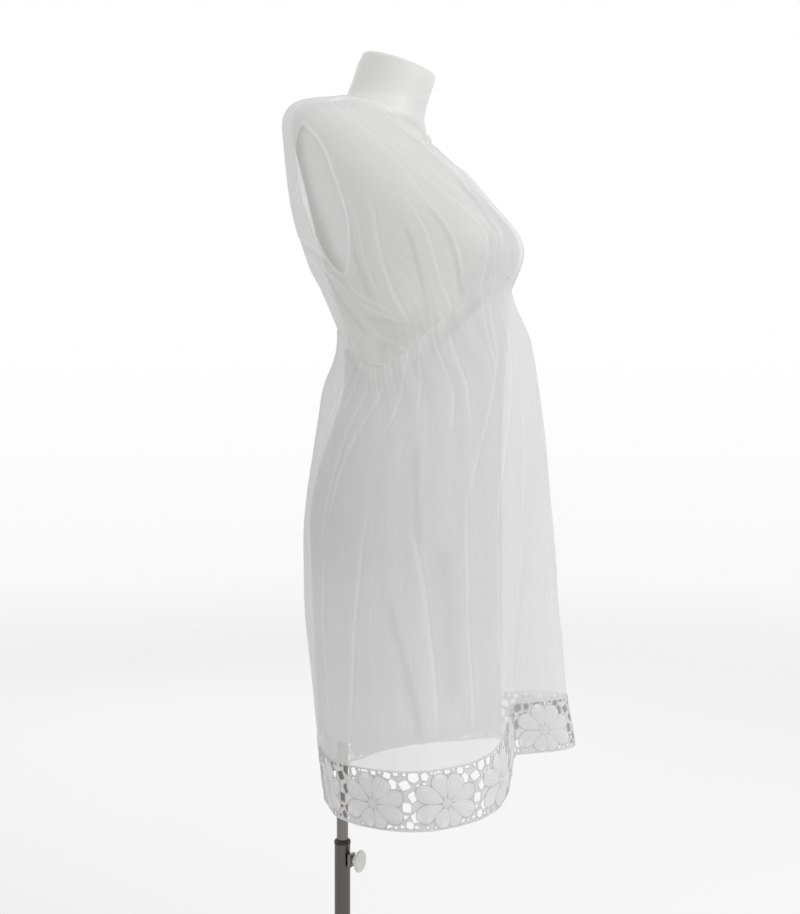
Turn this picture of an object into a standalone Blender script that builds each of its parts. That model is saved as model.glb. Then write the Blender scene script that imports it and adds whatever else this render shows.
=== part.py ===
"""A summer dress on a limbless dress form with a telescopic pole. Metres, +Z up.

The origin is the centre of the base plate's underside, on the pole's axis, and the dress faces -Y. A place on a
piece of cloth is a pair: its turn in degrees round the figure (0 at centre front, 90 at the wearer's left, -90 at
the wearer's right, 180 at centre back) and its height.
"""

import math
from collections import namedtuple

import bmesh
import bpy
import numpy as np
from mathutils import Euler, Vector
from mathutils.geometry import delaunay_2d_cdt

# Driving dimensions of the cloth
CLOTH = 0.0015
LACE_CLOTH = 0.0014
SEAM_GAP = 0.00034
SIDE_GAP_TURN = 0.06
SHOULDER_GAP_TURNS = (0.15, 0.5)
BINDING_WIDTH = 0.0045
BINDING_CLOTH = 0.0020
TRIM_WIDTH = 0.016
UNDER_FRONT_DROP = 0.0060
FRONT_CROSSING = 33.0
LINING_HEM = 0.588
LINING_BELOW_SEAM = 0.025
LACE_HEIGHT = 0.070
LACE_REPEATS = 13
LACE_START_TURN = -138.0

# Driving dimensions of the stand
POLE_RADIUS = 0.008
OUTER_TUBE_RADIUS = 0.011
OUTER_TUBE_TOP = 0.402
INNER_TUBE_FOOT = 0.170
BASE_RADIUS = 0.190
BASE_THICKNESS = 0.008
CLAMP_HEIGHT = 0.381
KNOB_TURN = math.radians(-7.0)
SCREW_RADIUS = 0.004
FLANGE_RADIUS = 0.0125
FIT = 0.0003
ROUND_STEPS = 16
BASE_STEPS = 36

# The figure: ellipses on a leaning centre line, wider at the shoulders, closing in to the neck
FigureRow = namedtuple("FigureRow", "height centre half_width front back tilt")
FIGURE = [
    FigureRow(0.790, -0.095, 0.168, 0.066, 0.110, 0.0),
    FigureRow(0.830, -0.095, 0.174, 0.069, 0.114, 0.0),
    FigureRow(0.870, -0.096, 0.176, 0.072, 0.115, 0.0),
    FigureRow(0.920, -0.098, 0.168, 0.078, 0.106, 0.0),
    FigureRow(0.980, -0.103, 0.150, 0.087, 0.092, 0.0),
    FigureRow(1.040, -0.108, 0.132, 0.094, 0.083, 0.0),
    FigureRow(1.100, -0.110, 0.134, 0.098, 0.088, 0.0),
    FigureRow(1.160, -0.106, 0.142, 0.106, 0.104, 0.0),
    FigureRow(1.200, -0.100, 0.146, 0.112, 0.112, 0.0),
    FigureRow(1.240, -0.090, 0.150, 0.115, 0.112, 0.0),
    FigureRow(1.280, -0.072, 0.160, 0.116, 0.101, 0.0),
    FigureRow(1.310, -0.056, 0.170, 0.115, 0.088, 0.0),
    FigureRow(1.340, -0.038, 0.179, 0.110, 0.072, 0.0),
    FigureRow(1.360, -0.027, 0.183, 0.102, 0.061, 0.0),
    FigureRow(1.375, -0.020, 0.180, 0.094, 0.052, 0.0),
    FigureRow(1.388, -0.016, 0.166, 0.090, 0.043, 0.0),
    FigureRow(1.399, -0.018, 0.140, 0.094, 0.038, 0.0),
    FigureRow(1.408, -0.024, 0.108, 0.090, 0.034, 0.0),
    FigureRow(1.416, -0.034, 0.082, 0.083, 0.033, 0.0),
    FigureRow(1.428, -0.055, 0.064, 0.067, 0.046, 0.0),
    FigureRow(1.445, -0.070, 0.058, 0.056, 0.053, 0.10),
    FigureRow(1.463, -0.078, 0.055, 0.053, 0.053, 0.22),
    FigureRow(1.4815, -0.0855, 0.052, 0.049, 0.049, 0.346),
]
BUST_HEIGHT = 1.233
BUST_APART = 0.078
BUST_FULLNESS = 0.0375
BUST_SPREAD = 0.042
FIGURE_STEPS = 28

# How far the bodice's outer face stands off the figure
EaseRow = namedtuple("EaseRow", "height side front back")
EASE = [
    EaseRow(1.040, 0.0080, 0.0140, 0.0100),
    EaseRow(1.100, 0.0090, 0.0140, 0.0100),
    EaseRow(1.130, 0.0090, 0.0140, 0.0130),
    EaseRow(1.160, 0.0080, 0.0140, 0.0160),
    EaseRow(1.200, 0.0090, 0.0130, 0.0240),
    EaseRow(1.240, 0.0100, 0.0125, 0.0290),
    EaseRow(1.280, 0.0090, 0.0140, 0.0300),
    EaseRow(1.310, 0.0080, 0.0150, 0.0285),
    EaseRow(1.340, 0.0065, 0.0080, 0.0245),
    EaseRow(1.360, 0.0070, 0.0070, 0.0210),
    EaseRow(1.375, 0.0084, 0.0066, 0.0205),
    EaseRow(1.390, 0.0074, 0.0080, 0.0185),
    EaseRow(1.428, 0.0040, 0.0066, 0.0070),
]
LEVEL_BELOW = 1.22
TILTED_ABOVE = 1.30

# The empire seam rises from the side seams to the centre front and less to the centre back, alike on both sides.
# The hem swings up over the front.
HeightRow = namedtuple("HeightRow", "turn height")
SEAM = [
    HeightRow(0, 1.1870),
    HeightRow(5, 1.1862),
    HeightRow(12, 1.1810),
    HeightRow(25, 1.165),
    HeightRow(52, 1.114),
    HeightRow(75, 1.073),
    HeightRow(90, 1.060),
    HeightRow(105, 1.068),
    HeightRow(124, 1.091),
    HeightRow(150, 1.110),
    HeightRow(180, 1.116),
]
HEM = [
    HeightRow(-180, 0.500),
    HeightRow(-90, 0.501),
    HeightRow(-60, 0.504),
    HeightRow(-45, 0.510),
    HeightRow(-32, 0.519),
    HeightRow(-18, 0.534),
    HeightRow(-5, 0.540),
    HeightRow(28, 0.540),
    HeightRow(50, 0.531),
    HeightRow(90, 0.512),
    HeightRow(180, 0.500),
]

# Pattern edges of the bodice, as turn away from centre front and height
SIDE_SEAM = [(90, 1.060), (96, 1.100), (106, 1.145), (112, 1.170)]
ARMHOLE_FRONT = [(112, 1.170), (105, 1.188), (99, 1.225), (95, 1.260), (90, 1.300), (86, 1.330), (86, 1.350), (90, 1.364)]
ARMHOLE_BACK = [(112, 1.170), (121, 1.190), (127, 1.225), (128, 1.265), (124, 1.305), (114, 1.338), (101, 1.355), (90, 1.364)]
SHOULDER_SEAM = [(90, 1.364), (90, 1.380), (90, 1.391), (90, 1.400), (90, 1.407), (90, 1.414)]
NECKLINE = [
    (90, 1.414),
    (58, 1.4055),
    (34, 1.3935),
    (20, 1.3825),
    (14, 1.362),
    (8, 1.329),
    (3, 1.307),
    (-3, 1.288),
    (-13, 1.262),
    (-24, 1.235),
    (-30, 1.200),
]
BACK_NECK = [(90, 1.414), (120, 1.412), (150, 1.407), (180, 1.404)]
FRONT_COLUMNS = 25
BACK_SHOULDER_COLUMNS = 7
BACK_NECK_COLUMNS = 14
SIDE_ROWS = 4
ARMHOLE_ROWS = 8
BOUND_ROWS = 3
LEFT_TRIM_ROWS = 5

# The skirt's rings, through the troughs between its lobes
RingRow = namedtuple("RingRow", "height centre half_width front back")
SKIRT = [
    RingRow(0.500, -0.164, 0.224, 0.177, 0.180),
    RingRow(0.550, -0.158, 0.221, 0.177, 0.178),
    RingRow(0.600, -0.151, 0.218, 0.174, 0.174),
    RingRow(0.640, -0.148, 0.215, 0.173, 0.173),
    RingRow(0.690, -0.143, 0.213, 0.173, 0.171),
    RingRow(0.740, -0.138, 0.210, 0.172, 0.171),
    RingRow(0.800, -0.135, 0.206, 0.171, 0.170),
    RingRow(0.850, -0.132, 0.203, 0.168, 0.167),
    RingRow(0.900, -0.131, 0.197, 0.163, 0.161),
    RingRow(0.950, -0.132, 0.187, 0.157, 0.155),
    RingRow(1.000, -0.132, 0.172, 0.150, 0.149),
    RingRow(1.050, -0.131, 0.156, 0.143, 0.143),
    RingRow(1.100, -0.130, 0.150, 0.134, 0.128),
    RingRow(1.200, -0.128, 0.150, 0.125, 0.125),
]
SKIRT_SETTLES = 0.09

# The troughs between the skirt's lobes, from the share of the fall where they start
FoldRow = namedtuple("FoldRow", "turn depth width_before width_after start")
FOLDS = [
    FoldRow(8, 0.098, 40, 9, 0.12),
    FoldRow(-62, 0.007, 9, 9, 0.30),
    FoldRow(-134, 0.010, 7, 7, 0.35),
    FoldRow(-152, 0.016, 9, 8, 0.60),
    FoldRow(160, 0.006, 7, 6, 0.30),
    FoldRow(138, 0.005, 7, 7, 0.30),
    FoldRow(111, 0.016, 9, 9, 0.25),
    FoldRow(78, 0.013, 8, 9, 0.30),
    FoldRow(46, 0.022, 8, 9, 0.10),
]
GATHERS_ROUND = 33
GATHER_RISE = 0.0026
GATHER_RISE_HEM = 0.0010
SKIRT_COLUMNS = 52
SKIRT_ROWS = 6

LINING = [
    RingRow(0.588, -0.100, 0.1740, 0.1210, 0.1120),
    RingRow(0.740, -0.098, 0.1785, 0.1230, 0.1185),
    RingRow(0.860, -0.096, 0.1825, 0.1250, 0.1215),
    RingRow(0.920, -0.099, 0.1755, 0.1220, 0.1140),
    RingRow(0.980, -0.104, 0.1565, 0.1200, 0.0995),
    RingRow(1.040, -0.108, 0.1370, 0.1200, 0.0890),
    RingRow(1.100, -0.110, 0.1390, 0.1220, 0.0935),
    RingRow(1.165, -0.106, 0.1480, 0.1240, 0.1120),
]
LINING_WAVE = 0.0015
LINING_COLUMNS = 18
LINING_ROWS = 7

# One repeat of the lace in millimetres from its flower's centre: along, up, width, height, corners, turn
HoleRow = namedtuple("HoleRow", "along up width height corners turn")
FLOWER_ABOVE_EDGE = 30.0
REPEAT_FROM = -30.0
REPEAT_LENGTH = 92.0
HOLES = [
    HoleRow(-24.5, 33.5, 8, 9, 5, 10),
    HoleRow(-26.0, 22.5, 5, 9, 4, 45),
    HoleRow(-7.5, 34.0, 10, 9, 6, 0),
    HoleRow(4.5, 36.0, 8, 5, 4, 45),
    HoleRow(22.0, 34.5, 10, 8, 4, 60),
    HoleRow(27.5, 24.5, 10, 11, 5, 0),
    HoleRow(42.5, 24.0, 13, 11, 4, 20),
    HoleRow(54.0, 33.5, 11, 11, 6, 0),
    HoleRow(51.0, 10.5, 10, 12, 4, 15),
    HoleRow(42.8, -1.8, 11, 12, 4, 50),
    HoleRow(53.5, -13.5, 12, 11, 5, 0),
    HoleRow(44.8, -22.0, 8, 8, 6, 0),
    HoleRow(37.0, -12.5, 13, 5, 4, 75),
    HoleRow(35.5, -24.0, 7, 5, 3, 90),
    HoleRow(19.0, -24.5, 9, 6, 3, 90),
    HoleRow(-5.0, -24.5, 8, 6, 3, 90),
    HoleRow(-24.5, -17.5, 7, 6, 4, 45),
]
FLOWER_RINGS = ((16.0, 5, 30.0),)
LACE_EDGE_STEPS = 8

# Name and look of each material: red, green, blue, roughness, metallic
MATERIALS = {
    "cotton_voile": (0.86, 0.86, 0.86, 0.90, 0.0),
    "cotton_lining": (0.82, 0.82, 0.82, 0.90, 0.0),
    "cotton_cutwork": (0.84, 0.84, 0.84, 0.90, 0.0),
    "form_shell": (0.80, 0.80, 0.80, 0.55, 0.0),
    "steel_tube": (0.35, 0.33, 0.32, 0.30, 1.0),
    "black_plastic": (0.05, 0.05, 0.05, 0.50, 0.0),
    "grey_knob": (0.62, 0.62, 0.61, 0.45, 0.0),
    "base_paint": (0.70, 0.70, 0.70, 0.50, 0.0),
}


def clear_scene():
    for obj in list(bpy.data.objects):
        bpy.data.objects.remove(obj, do_unlink=True)


def material(name):
    found = bpy.data.materials.get(name)
    if found:
        return found
    made = bpy.data.materials.new(name)
    made.use_nodes = True
    red, green, blue, roughness, metallic = MATERIALS[name]
    shader = made.node_tree.nodes["Principled BSDF"]
    shader.inputs["Base Color"].default_value = (red, green, blue, 1.0)
    shader.inputs["Roughness"].default_value = roughness
    shader.inputs["Metallic"].default_value = metallic
    return made


def add_object(name, mesh_data, finish):
    obj = bpy.data.objects.new(name, mesh_data)
    bpy.context.scene.collection.objects.link(obj)
    obj.data.materials.append(material(finish))
    return obj


def reader(rows):
    """A function that reads a table, whose first column rises, smoothly and without overshoot."""
    table = np.array(rows, float)
    keys, values = table[:, 0], table[:, 1:]
    steps = np.diff(keys)
    rises = np.diff(values, axis=0) / steps[:, None]
    product = rises[:-1] * rises[1:]
    total = np.where(np.abs(rises[:-1] + rises[1:]) > 1e-12, rises[:-1] + rises[1:], 1.0)
    inner = np.where(product > 0, 2 * product / total, 0.0)
    slopes = np.vstack([rises[:1], inner, rises[-1:]])

    def read(key):
        key = np.clip(np.asarray(key, float), keys[0], keys[-1])
        at = np.clip(np.searchsorted(keys, key, side="right") - 1, 0, len(steps) - 1)
        step = steps[at][..., None]
        share = ((key - keys[at])[..., None]) / step
        return (
            (2 * share**3 - 3 * share**2 + 1) * values[at]
            + (share**3 - 2 * share**2 + share) * step * slopes[at]
            + (3 * share**2 - 2 * share**3) * values[at + 1]
            + (share**3 - share**2) * step * slopes[at + 1]
        )

    return read


figure_row = reader(FIGURE)
ease_row = reader(EASE)
seam_row = reader(SEAM)
hem_row = reader(HEM)
skirt_row = reader(SKIRT)
lining_row = reader(LINING)


def smooth_step(share):
    share = np.clip(share, 0.0, 1.0)
    return share * share * (3 - 2 * share)


def turned(turn):
    """The turn brought between -180 and 180 degrees."""
    return (np.asarray(turn, float) + 180.0) % 360.0 - 180.0


def seam_height(turn):
    return seam_row(np.abs(turned(turn)))[..., 0]


def hem_height(turn):
    return hem_row(turned(turn))[..., 0]


def normalised(vectors):
    return vectors / np.linalg.norm(vectors, axis=-1, keepdims=True)


def figure_at(turn, height):
    centre, half, front, back, tilt = np.moveaxis(figure_row(height), -1, 0)
    across, ahead = np.sin(np.radians(turn)), np.cos(np.radians(turn))
    x = half * across
    y = centre - np.where(ahead > 0, front, back) * ahead
    rise = np.exp(-0.5 * ((height - BUST_HEIGHT) / BUST_SPREAD) ** 2)
    both = sum(np.exp(-0.5 * ((x - side * BUST_APART) / BUST_SPREAD) ** 2) for side in (-1, 1))
    y = y - BUST_FULLNESS * rise * both * smooth_step(ahead / 0.5)
    return np.stack([x, y, height + tilt * (y - centre)], axis=-1)


def bodice_at(turn, height, lift=0.0):
    """The bodice's outer face, which stands off the figure by its ease and by what a fold lifts it."""
    turn, height = np.asarray(turn, float), np.asarray(height, float)
    by_turn = figure_at(turn + 0.5, height) - figure_at(turn - 0.5, height)
    by_height = figure_at(turn, height + 0.0005) - figure_at(turn, height - 0.0005)
    outward = normalised(np.cross(by_turn, by_height))
    tilted = smooth_step((height - LEVEL_BELOW) / (TILTED_ABOVE - LEVEL_BELOW))
    outward = outward * np.stack([np.ones_like(tilted), np.ones_like(tilted), tilted], axis=-1)
    side, front, back = np.moveaxis(ease_row(height), -1, 0)
    ahead = np.cos(np.radians(turn))
    ease = side * (1 - ahead**2) + np.where(ahead > 0, front, back) * ahead**2
    return figure_at(turn, height) + outward * (ease + lift)[..., None]


def ripple(place, count, phase):
    """Uneven soft ripples between 0 and 1, count of them while place goes from 0 to 1."""
    wander = 0.33 * np.sin(2 * math.pi * 1.7 * place + phase) + 0.21 * np.sin(2 * math.pi * 3.1 * place + 2 * phase)
    size = 0.72 + 0.28 * np.sin(2 * math.pi * 2.3 * place + 3 * phase)
    return size * (0.5 - 0.5 * np.cos(2 * math.pi * (count * place + wander)))


def ring_at(row, turn):
    centre, half, front, back = np.moveaxis(row, -1, 0)
    across, ahead = np.sin(np.radians(turn)), np.cos(np.radians(turn))
    depth = np.where(ahead > 0, front, back)
    flat = np.stack([half * across, centre - depth * ahead], axis=-1)
    outward = normalised(np.stack([across / half, -ahead / depth], axis=-1))
    return flat, outward


def skirt_at(turn, height, lift=0.0):
    """The skirt's outer face: gathered on the bodice's edge at the empire seam, and lobed at the hem."""
    turn, height = np.asarray(turn, float), np.asarray(height, float)
    seam, hem = seam_height(turn), hem_height(turn)
    fall = np.clip((seam - height) / (seam - hem), 0.0, 1.0)
    flat, outward = ring_at(skirt_row(height), turn)
    settled = smooth_step((seam - height) / SKIRT_SETTLES)[..., None]
    flat = bodice_at(turn, seam)[..., :2] * (1 - settled) + flat * settled
    dent = np.zeros_like(fall)
    for fold in FOLDS:
        away = turned(turn - fold.turn)
        width = np.where(away < 0, fold.width_before, fold.width_after)
        grown = smooth_step((fall - fold.start) / (1.15 - fold.start))
        dent += fold.depth * np.exp(-0.5 * (away / width) ** 2) * grown
    rise = GATHER_RISE * (1 - fall) + GATHER_RISE_HEM * fall
    gathers = rise * ripple((turned(turn) + 180) / 360, GATHERS_ROUND, 0.6)
    flat = flat + outward * (gathers - dent + lift)[..., None]
    return np.concatenate([flat, height[..., None]], axis=-1)


def lining_at(turn, height, lift=0.0):
    turn, height = np.asarray(turn, float), np.asarray(height, float)
    flat, outward = ring_at(lining_row(height), turn)
    wave = LINING_WAVE * smooth_step((0.80 - height) / 0.20) * np.sin(np.radians(7 * turn + 40))
    flat = flat + outward * (wave + lift)[..., None]
    return np.concatenate([flat, height[..., None]], axis=-1)


def wall(name, outer, inner, finish, around=False):
    """A closed wall of cloth between two grids of points, their rows rising and their columns along the turn."""
    rows, columns = outer.shape[:2]
    bm = bmesh.new()
    faces = [[[bm.verts.new(point) for point in row] for row in grid] for grid in (outer, inner)]
    front, back = faces
    last = columns if around else columns - 1
    for i in range(rows - 1):
        for j in range(last):
            k = (j + 1) % columns
            bm.faces.new((front[i][j], front[i][k], front[i + 1][k], front[i + 1][j]))
            bm.faces.new((back[i + 1][j], back[i + 1][k], back[i][k], back[i][j]))
    for j in range(last):
        k = (j + 1) % columns
        bm.faces.new((front[0][k], front[0][j], back[0][j], back[0][k]))
        bm.faces.new((front[-1][j], front[-1][k], back[-1][k], back[-1][j]))
    if not around:
        for i in range(rows - 1):
            bm.faces.new((front[i][0], front[i + 1][0], back[i + 1][0], back[i][0]))
            bm.faces.new((front[i + 1][-1], front[i][-1], back[i][-1], back[i + 1][-1]))
    return finish_solid(name, bm, finish)


def smooth_path(points, steps=12):
    """A Catmull-Rom curve through pairs of turn and height."""
    points = np.array(points, float)
    padded = np.vstack([2 * points[0] - points[1], points, 2 * points[-1] - points[-2]])
    shares = np.linspace(0, 1, steps, endpoint=False)[:, None]
    path = []
    for before, start, end, after in zip(padded, padded[1:], padded[2:], padded[3:]):
        path.append(
            0.5
            * (
                2 * start
                + (end - before) * shares
                + (2 * before - 5 * start + 4 * end - after) * shares**2
                + (3 * start - before - 3 * end + after) * shares**3
            )
        )
    return np.vstack(path + [points[-1:]])


def evenly(path, count):
    """The path cut into count lengths that are equal on the bodice."""
    path = np.array(path, float)
    places = bodice_at(path[:, 0], path[:, 1])
    length = np.concatenate([[0.0], np.cumsum(np.linalg.norm(np.diff(places, axis=0), axis=1))])
    wanted = np.linspace(0, length[-1], count + 1)
    return np.stack([np.interp(wanted, length, path[:, k]) for k in (0, 1)], axis=-1)


def joined(*paths):
    return np.vstack([paths[0]] + [path[1:] for path in paths[1:]])


def mirrored(path, side):
    """A pattern edge on one side of the figure: 1 is the wearer's left and -1 the right."""
    path = np.array(path, float)
    path[:, 0] *= side
    return path


def patch(bottom, top, left, right):
    """The Coons patch between four edges, as a grid of turns and heights."""
    across = np.linspace(0, 1, len(bottom))[None, :, None]
    up = np.linspace(0, 1, len(left))[:, None, None]
    ruled = (1 - up) * bottom[None] + up * top[None] + (1 - across) * left[:, None] + across * right[:, None]
    corners = (1 - up) * ((1 - across) * bottom[0] + across * bottom[-1])
    corners = corners + up * ((1 - across) * top[0] + across * top[-1])
    return ruled - corners


def drawn_in(grid, gap):
    """The grid with its four edges moved inwards by the gap."""
    grid = grid.copy()
    for line, inner in ((0, 1), (-1, -2)):
        for turn_grid in (grid, grid.transpose(1, 0, 2)):
            here = bodice_at(turn_grid[line, :, 0], turn_grid[line, :, 1])
            there = bodice_at(turn_grid[inner, :, 0], turn_grid[inner, :, 1])
            share = gap / np.linalg.norm(there - here, axis=1)
            turn_grid[line] += (turn_grid[inner] - turn_grid[line]) * share[:, None]
    return grid


def shifted(path, distance, closed=False):
    """The path moved sideways in the bodice's face, to the left of its run as seen from outside."""
    here = bodice_at(path[:, 0], path[:, 1])
    by_turn = bodice_at(path[:, 0] + 0.5, path[:, 1]) - bodice_at(path[:, 0] - 0.5, path[:, 1])
    by_height = (bodice_at(path[:, 0], path[:, 1] + 0.0005) - bodice_at(path[:, 0], path[:, 1] - 0.0005)) * 1000
    if closed:
        along = np.roll(here, -1, axis=0) - np.roll(here, 1, axis=0)
    else:
        along = np.gradient(here, axis=0)
    side = normalised(np.cross(np.cross(by_turn, by_height), along)) * distance
    moved = path.copy()
    for k in range(len(path)):
        basis = np.stack([by_turn[k], by_height[k]], axis=1)
        moved[k] += np.linalg.lstsq(basis, side[k], rcond=None)[0]
    return moved


def strip(name, path, width, thickness, finish, closed=False, dropped=False):
    """A band of cloth of the given width on the bodice, to the left of a path."""
    grid = np.stack([shifted(path, distance, closed) for distance in (SEAM_GAP, width)])
    lift = under_drop(grid) if dropped else np.zeros(grid.shape[:2])
    faces = [bodice_at(grid[..., 0], grid[..., 1], rise) for rise in (lift, lift - thickness)]
    return wall(name, *faces, finish, around=closed)


def seam_path(start, end, count):
    turns = np.linspace(start, end, count + 1)
    return np.stack([turns, seam_height(turns)], axis=-1)


def under_drop(grid):
    """How far the left front lies inside the right front where the two cross."""
    below = smooth_step((1.335 - grid[..., 1]) / 0.030)
    return -UNDER_FRONT_DROP * smooth_step((70 - grid[..., 0]) / 18) * below


def armhole_edges(side):
    """The front and the back edge of an armhole, both from the side seam up to the shoulder."""
    paths = (smooth_path(mirrored(edge, side)) for edge in (ARMHOLE_FRONT, ARMHOLE_BACK))
    return [evenly(path, ARMHOLE_ROWS) for path in paths]


def neckline_edge(side):
    """A front's neckline from its shoulder across the centre front to the empire seam."""
    whole = NECKLINE + [(-FRONT_CROSSING, float(seam_height(FRONT_CROSSING)))]
    return evenly(smooth_path(mirrored(whole, side)), SIDE_ROWS + ARMHOLE_ROWS)


def back_neck_edge():
    left = smooth_path(BACK_NECK)
    right = left * (-1, 1) + (360, 0)
    return evenly(joined(left, right[::-1]), BACK_NECK_COLUMNS)


def bodice_front(name, side, phase):
    """A gathered front from side seam and armhole to its neckline, which crosses the centre front."""
    bottom = evenly(seam_path(90 * side, -FRONT_CROSSING * side, FRONT_COLUMNS * 3), FRONT_COLUMNS)
    top = evenly(mirrored(SHOULDER_SEAM, side), FRONT_COLUMNS)
    armhole = joined(evenly(smooth_path(mirrored(SIDE_SEAM, side)), SIDE_ROWS), armhole_edges(side)[0])
    neckline = neckline_edge(side)[::-1]
    grid = patch(bottom, top, armhole, neckline)
    grid[-1, :, 0] = side * (90 - SHOULDER_GAP_TURNS[0])
    grid = drawn_in(grid, SEAM_GAP / 2)
    across = np.linspace(0, 1, FRONT_COLUMNS + 1)[None, :]
    up = np.linspace(0, 1, len(armhole))[:, None]
    rise = 0.0034 * (1 - smooth_step(up / 0.75)) + 0.0013
    lift = rise * ripple(across + 0.02 * up, 8, phase) * smooth_step((1 - across) / 0.06) * smooth_step(across / 0.05)
    if side > 0:
        shown = np.maximum(smooth_step((grid[..., 0] - 46) / 14), smooth_step((grid[..., 1] - 1.30) / 0.03))
        lift = lift * shown + under_drop(grid)
    faces = [bodice_at(grid[..., 0], grid[..., 1], rise)[:, ::-side] for rise in (lift, lift - CLOTH)]
    return wall(name, *faces, "cotton_voile")


def bodice_back(name):
    """The back in one piece, from seam to shoulders, between the armholes."""
    columns = 2 * BACK_SHOULDER_COLUMNS + BACK_NECK_COLUMNS
    bottom = evenly(seam_path(90, 270, columns * 3), columns)

    def right_side(path):
        path = np.array(path, float)
        path[:, 0] = 360 - path[:, 0]
        return path

    shoulder = evenly(SHOULDER_SEAM, BACK_SHOULDER_COLUMNS)
    top = joined(shoulder, back_neck_edge(), right_side(shoulder)[::-1])
    armhole = joined(evenly(smooth_path(SIDE_SEAM), SIDE_ROWS), armhole_edges(1)[1])
    grid = patch(bottom, top, armhole, right_side(armhole))
    grid[-1, : BACK_SHOULDER_COLUMNS + 1, 0] += SHOULDER_GAP_TURNS[1]
    grid[-1, -BACK_SHOULDER_COLUMNS - 1 :, 0] -= SHOULDER_GAP_TURNS[1]
    grid = drawn_in(grid, SEAM_GAP / 2)
    across = np.linspace(0, 1, columns + 1)[None, :]
    up = np.linspace(0, 1, len(armhole))[:, None]
    rise = 0.0030 * (1 - smooth_step(up / 0.7)) + 0.0008
    lift = rise * ripple(across, 9, 2.1) * smooth_step(across / 0.05) * smooth_step((1 - across) / 0.05)
    faces = [bodice_at(grid[..., 0], grid[..., 1], rise) for rise in (lift, lift - CLOTH)]
    return wall(name, *faces, "cotton_voile")


def neck_binding(name):
    """The narrow binding round the neck, from one lace trim over both shoulders to the other."""
    left = neckline_edge(1)[: BOUND_ROWS + 1]
    right = neckline_edge(-1)[: BOUND_ROWS + 1] + (360, 0)
    path = joined(left[::-1], back_neck_edge(), right)
    return strip(name, path, BINDING_WIDTH, BINDING_CLOTH, "cotton_voile")


def lace_trim(name, side, rows):
    """The lace that edges a front from the end of the binding down over the given rows."""
    path = neckline_edge(side)[BOUND_ROWS : BOUND_ROWS + rows + 1]
    path[0] = path[0] * 0.97 + path[1] * 0.03
    path[-1] = path[-1] * 0.80 + path[-2] * 0.20
    return strip(name, path[::-side], TRIM_WIDTH, LACE_CLOTH, "cotton_cutwork", dropped=side > 0)


def armhole_binding(name, side):
    """The rolled edge round an armhole."""
    front, back = armhole_edges(side)
    loop = joined(front, back[::-1])[:-1]
    return strip(name, loop[::-side], BINDING_WIDTH, BINDING_CLOTH, "cotton_voile", closed=True)


def panel_round(name, surface, start, columns, top, foot, rows, finish):
    """A wall half way round from a turn, from its foot up to its top, each a function of the turn."""
    turns = np.linspace(start + SIDE_GAP_TURN, start + 180 - SIDE_GAP_TURN, columns + 1)[None, :]
    up = np.linspace(0, 1, rows + 1)[:, None]
    heights = foot(turns) * (1 - up) + top(turns) * up
    turns = np.broadcast_to(turns, heights.shape)
    return wall(name, surface(turns, heights), surface(turns, heights, -CLOTH), finish)


def hem_lengths():
    """Turns all round from the lace's start, and the length along the lace to each."""
    turns = np.linspace(LACE_START_TURN, LACE_START_TURN + 360, 1441)
    places = skirt_at(turns, hem_height(turns) + LACE_HEIGHT / 2)
    steps = np.linalg.norm(np.diff(places, axis=0), axis=1)
    return turns, np.concatenate([[0.0], np.cumsum(steps)])


def hole_corners(hole, offset):
    """The corners of an opening, in millimetres along the lace and above its edge."""
    corners = []
    for k in range(hole.corners):
        angle = math.radians(hole.turn) + 2 * math.pi * k / hole.corners
        along = hole.along - REPEAT_FROM + offset + hole.width / 2 * math.sin(angle)
        corners.append((along, hole.up + FLOWER_ABOVE_EDGE + hole.height / 2 * math.cos(angle)))
    return corners


def inside(point, corners):
    """Whether a point lies inside a convex outline whose corners run clockwise."""
    ends = zip(corners, corners[1:] + corners[:1])
    return all((b[0] - a[0]) * (point[1] - a[1]) - (b[1] - a[1]) * (point[0] - a[0]) < 0 for a, b in ends)


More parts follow.
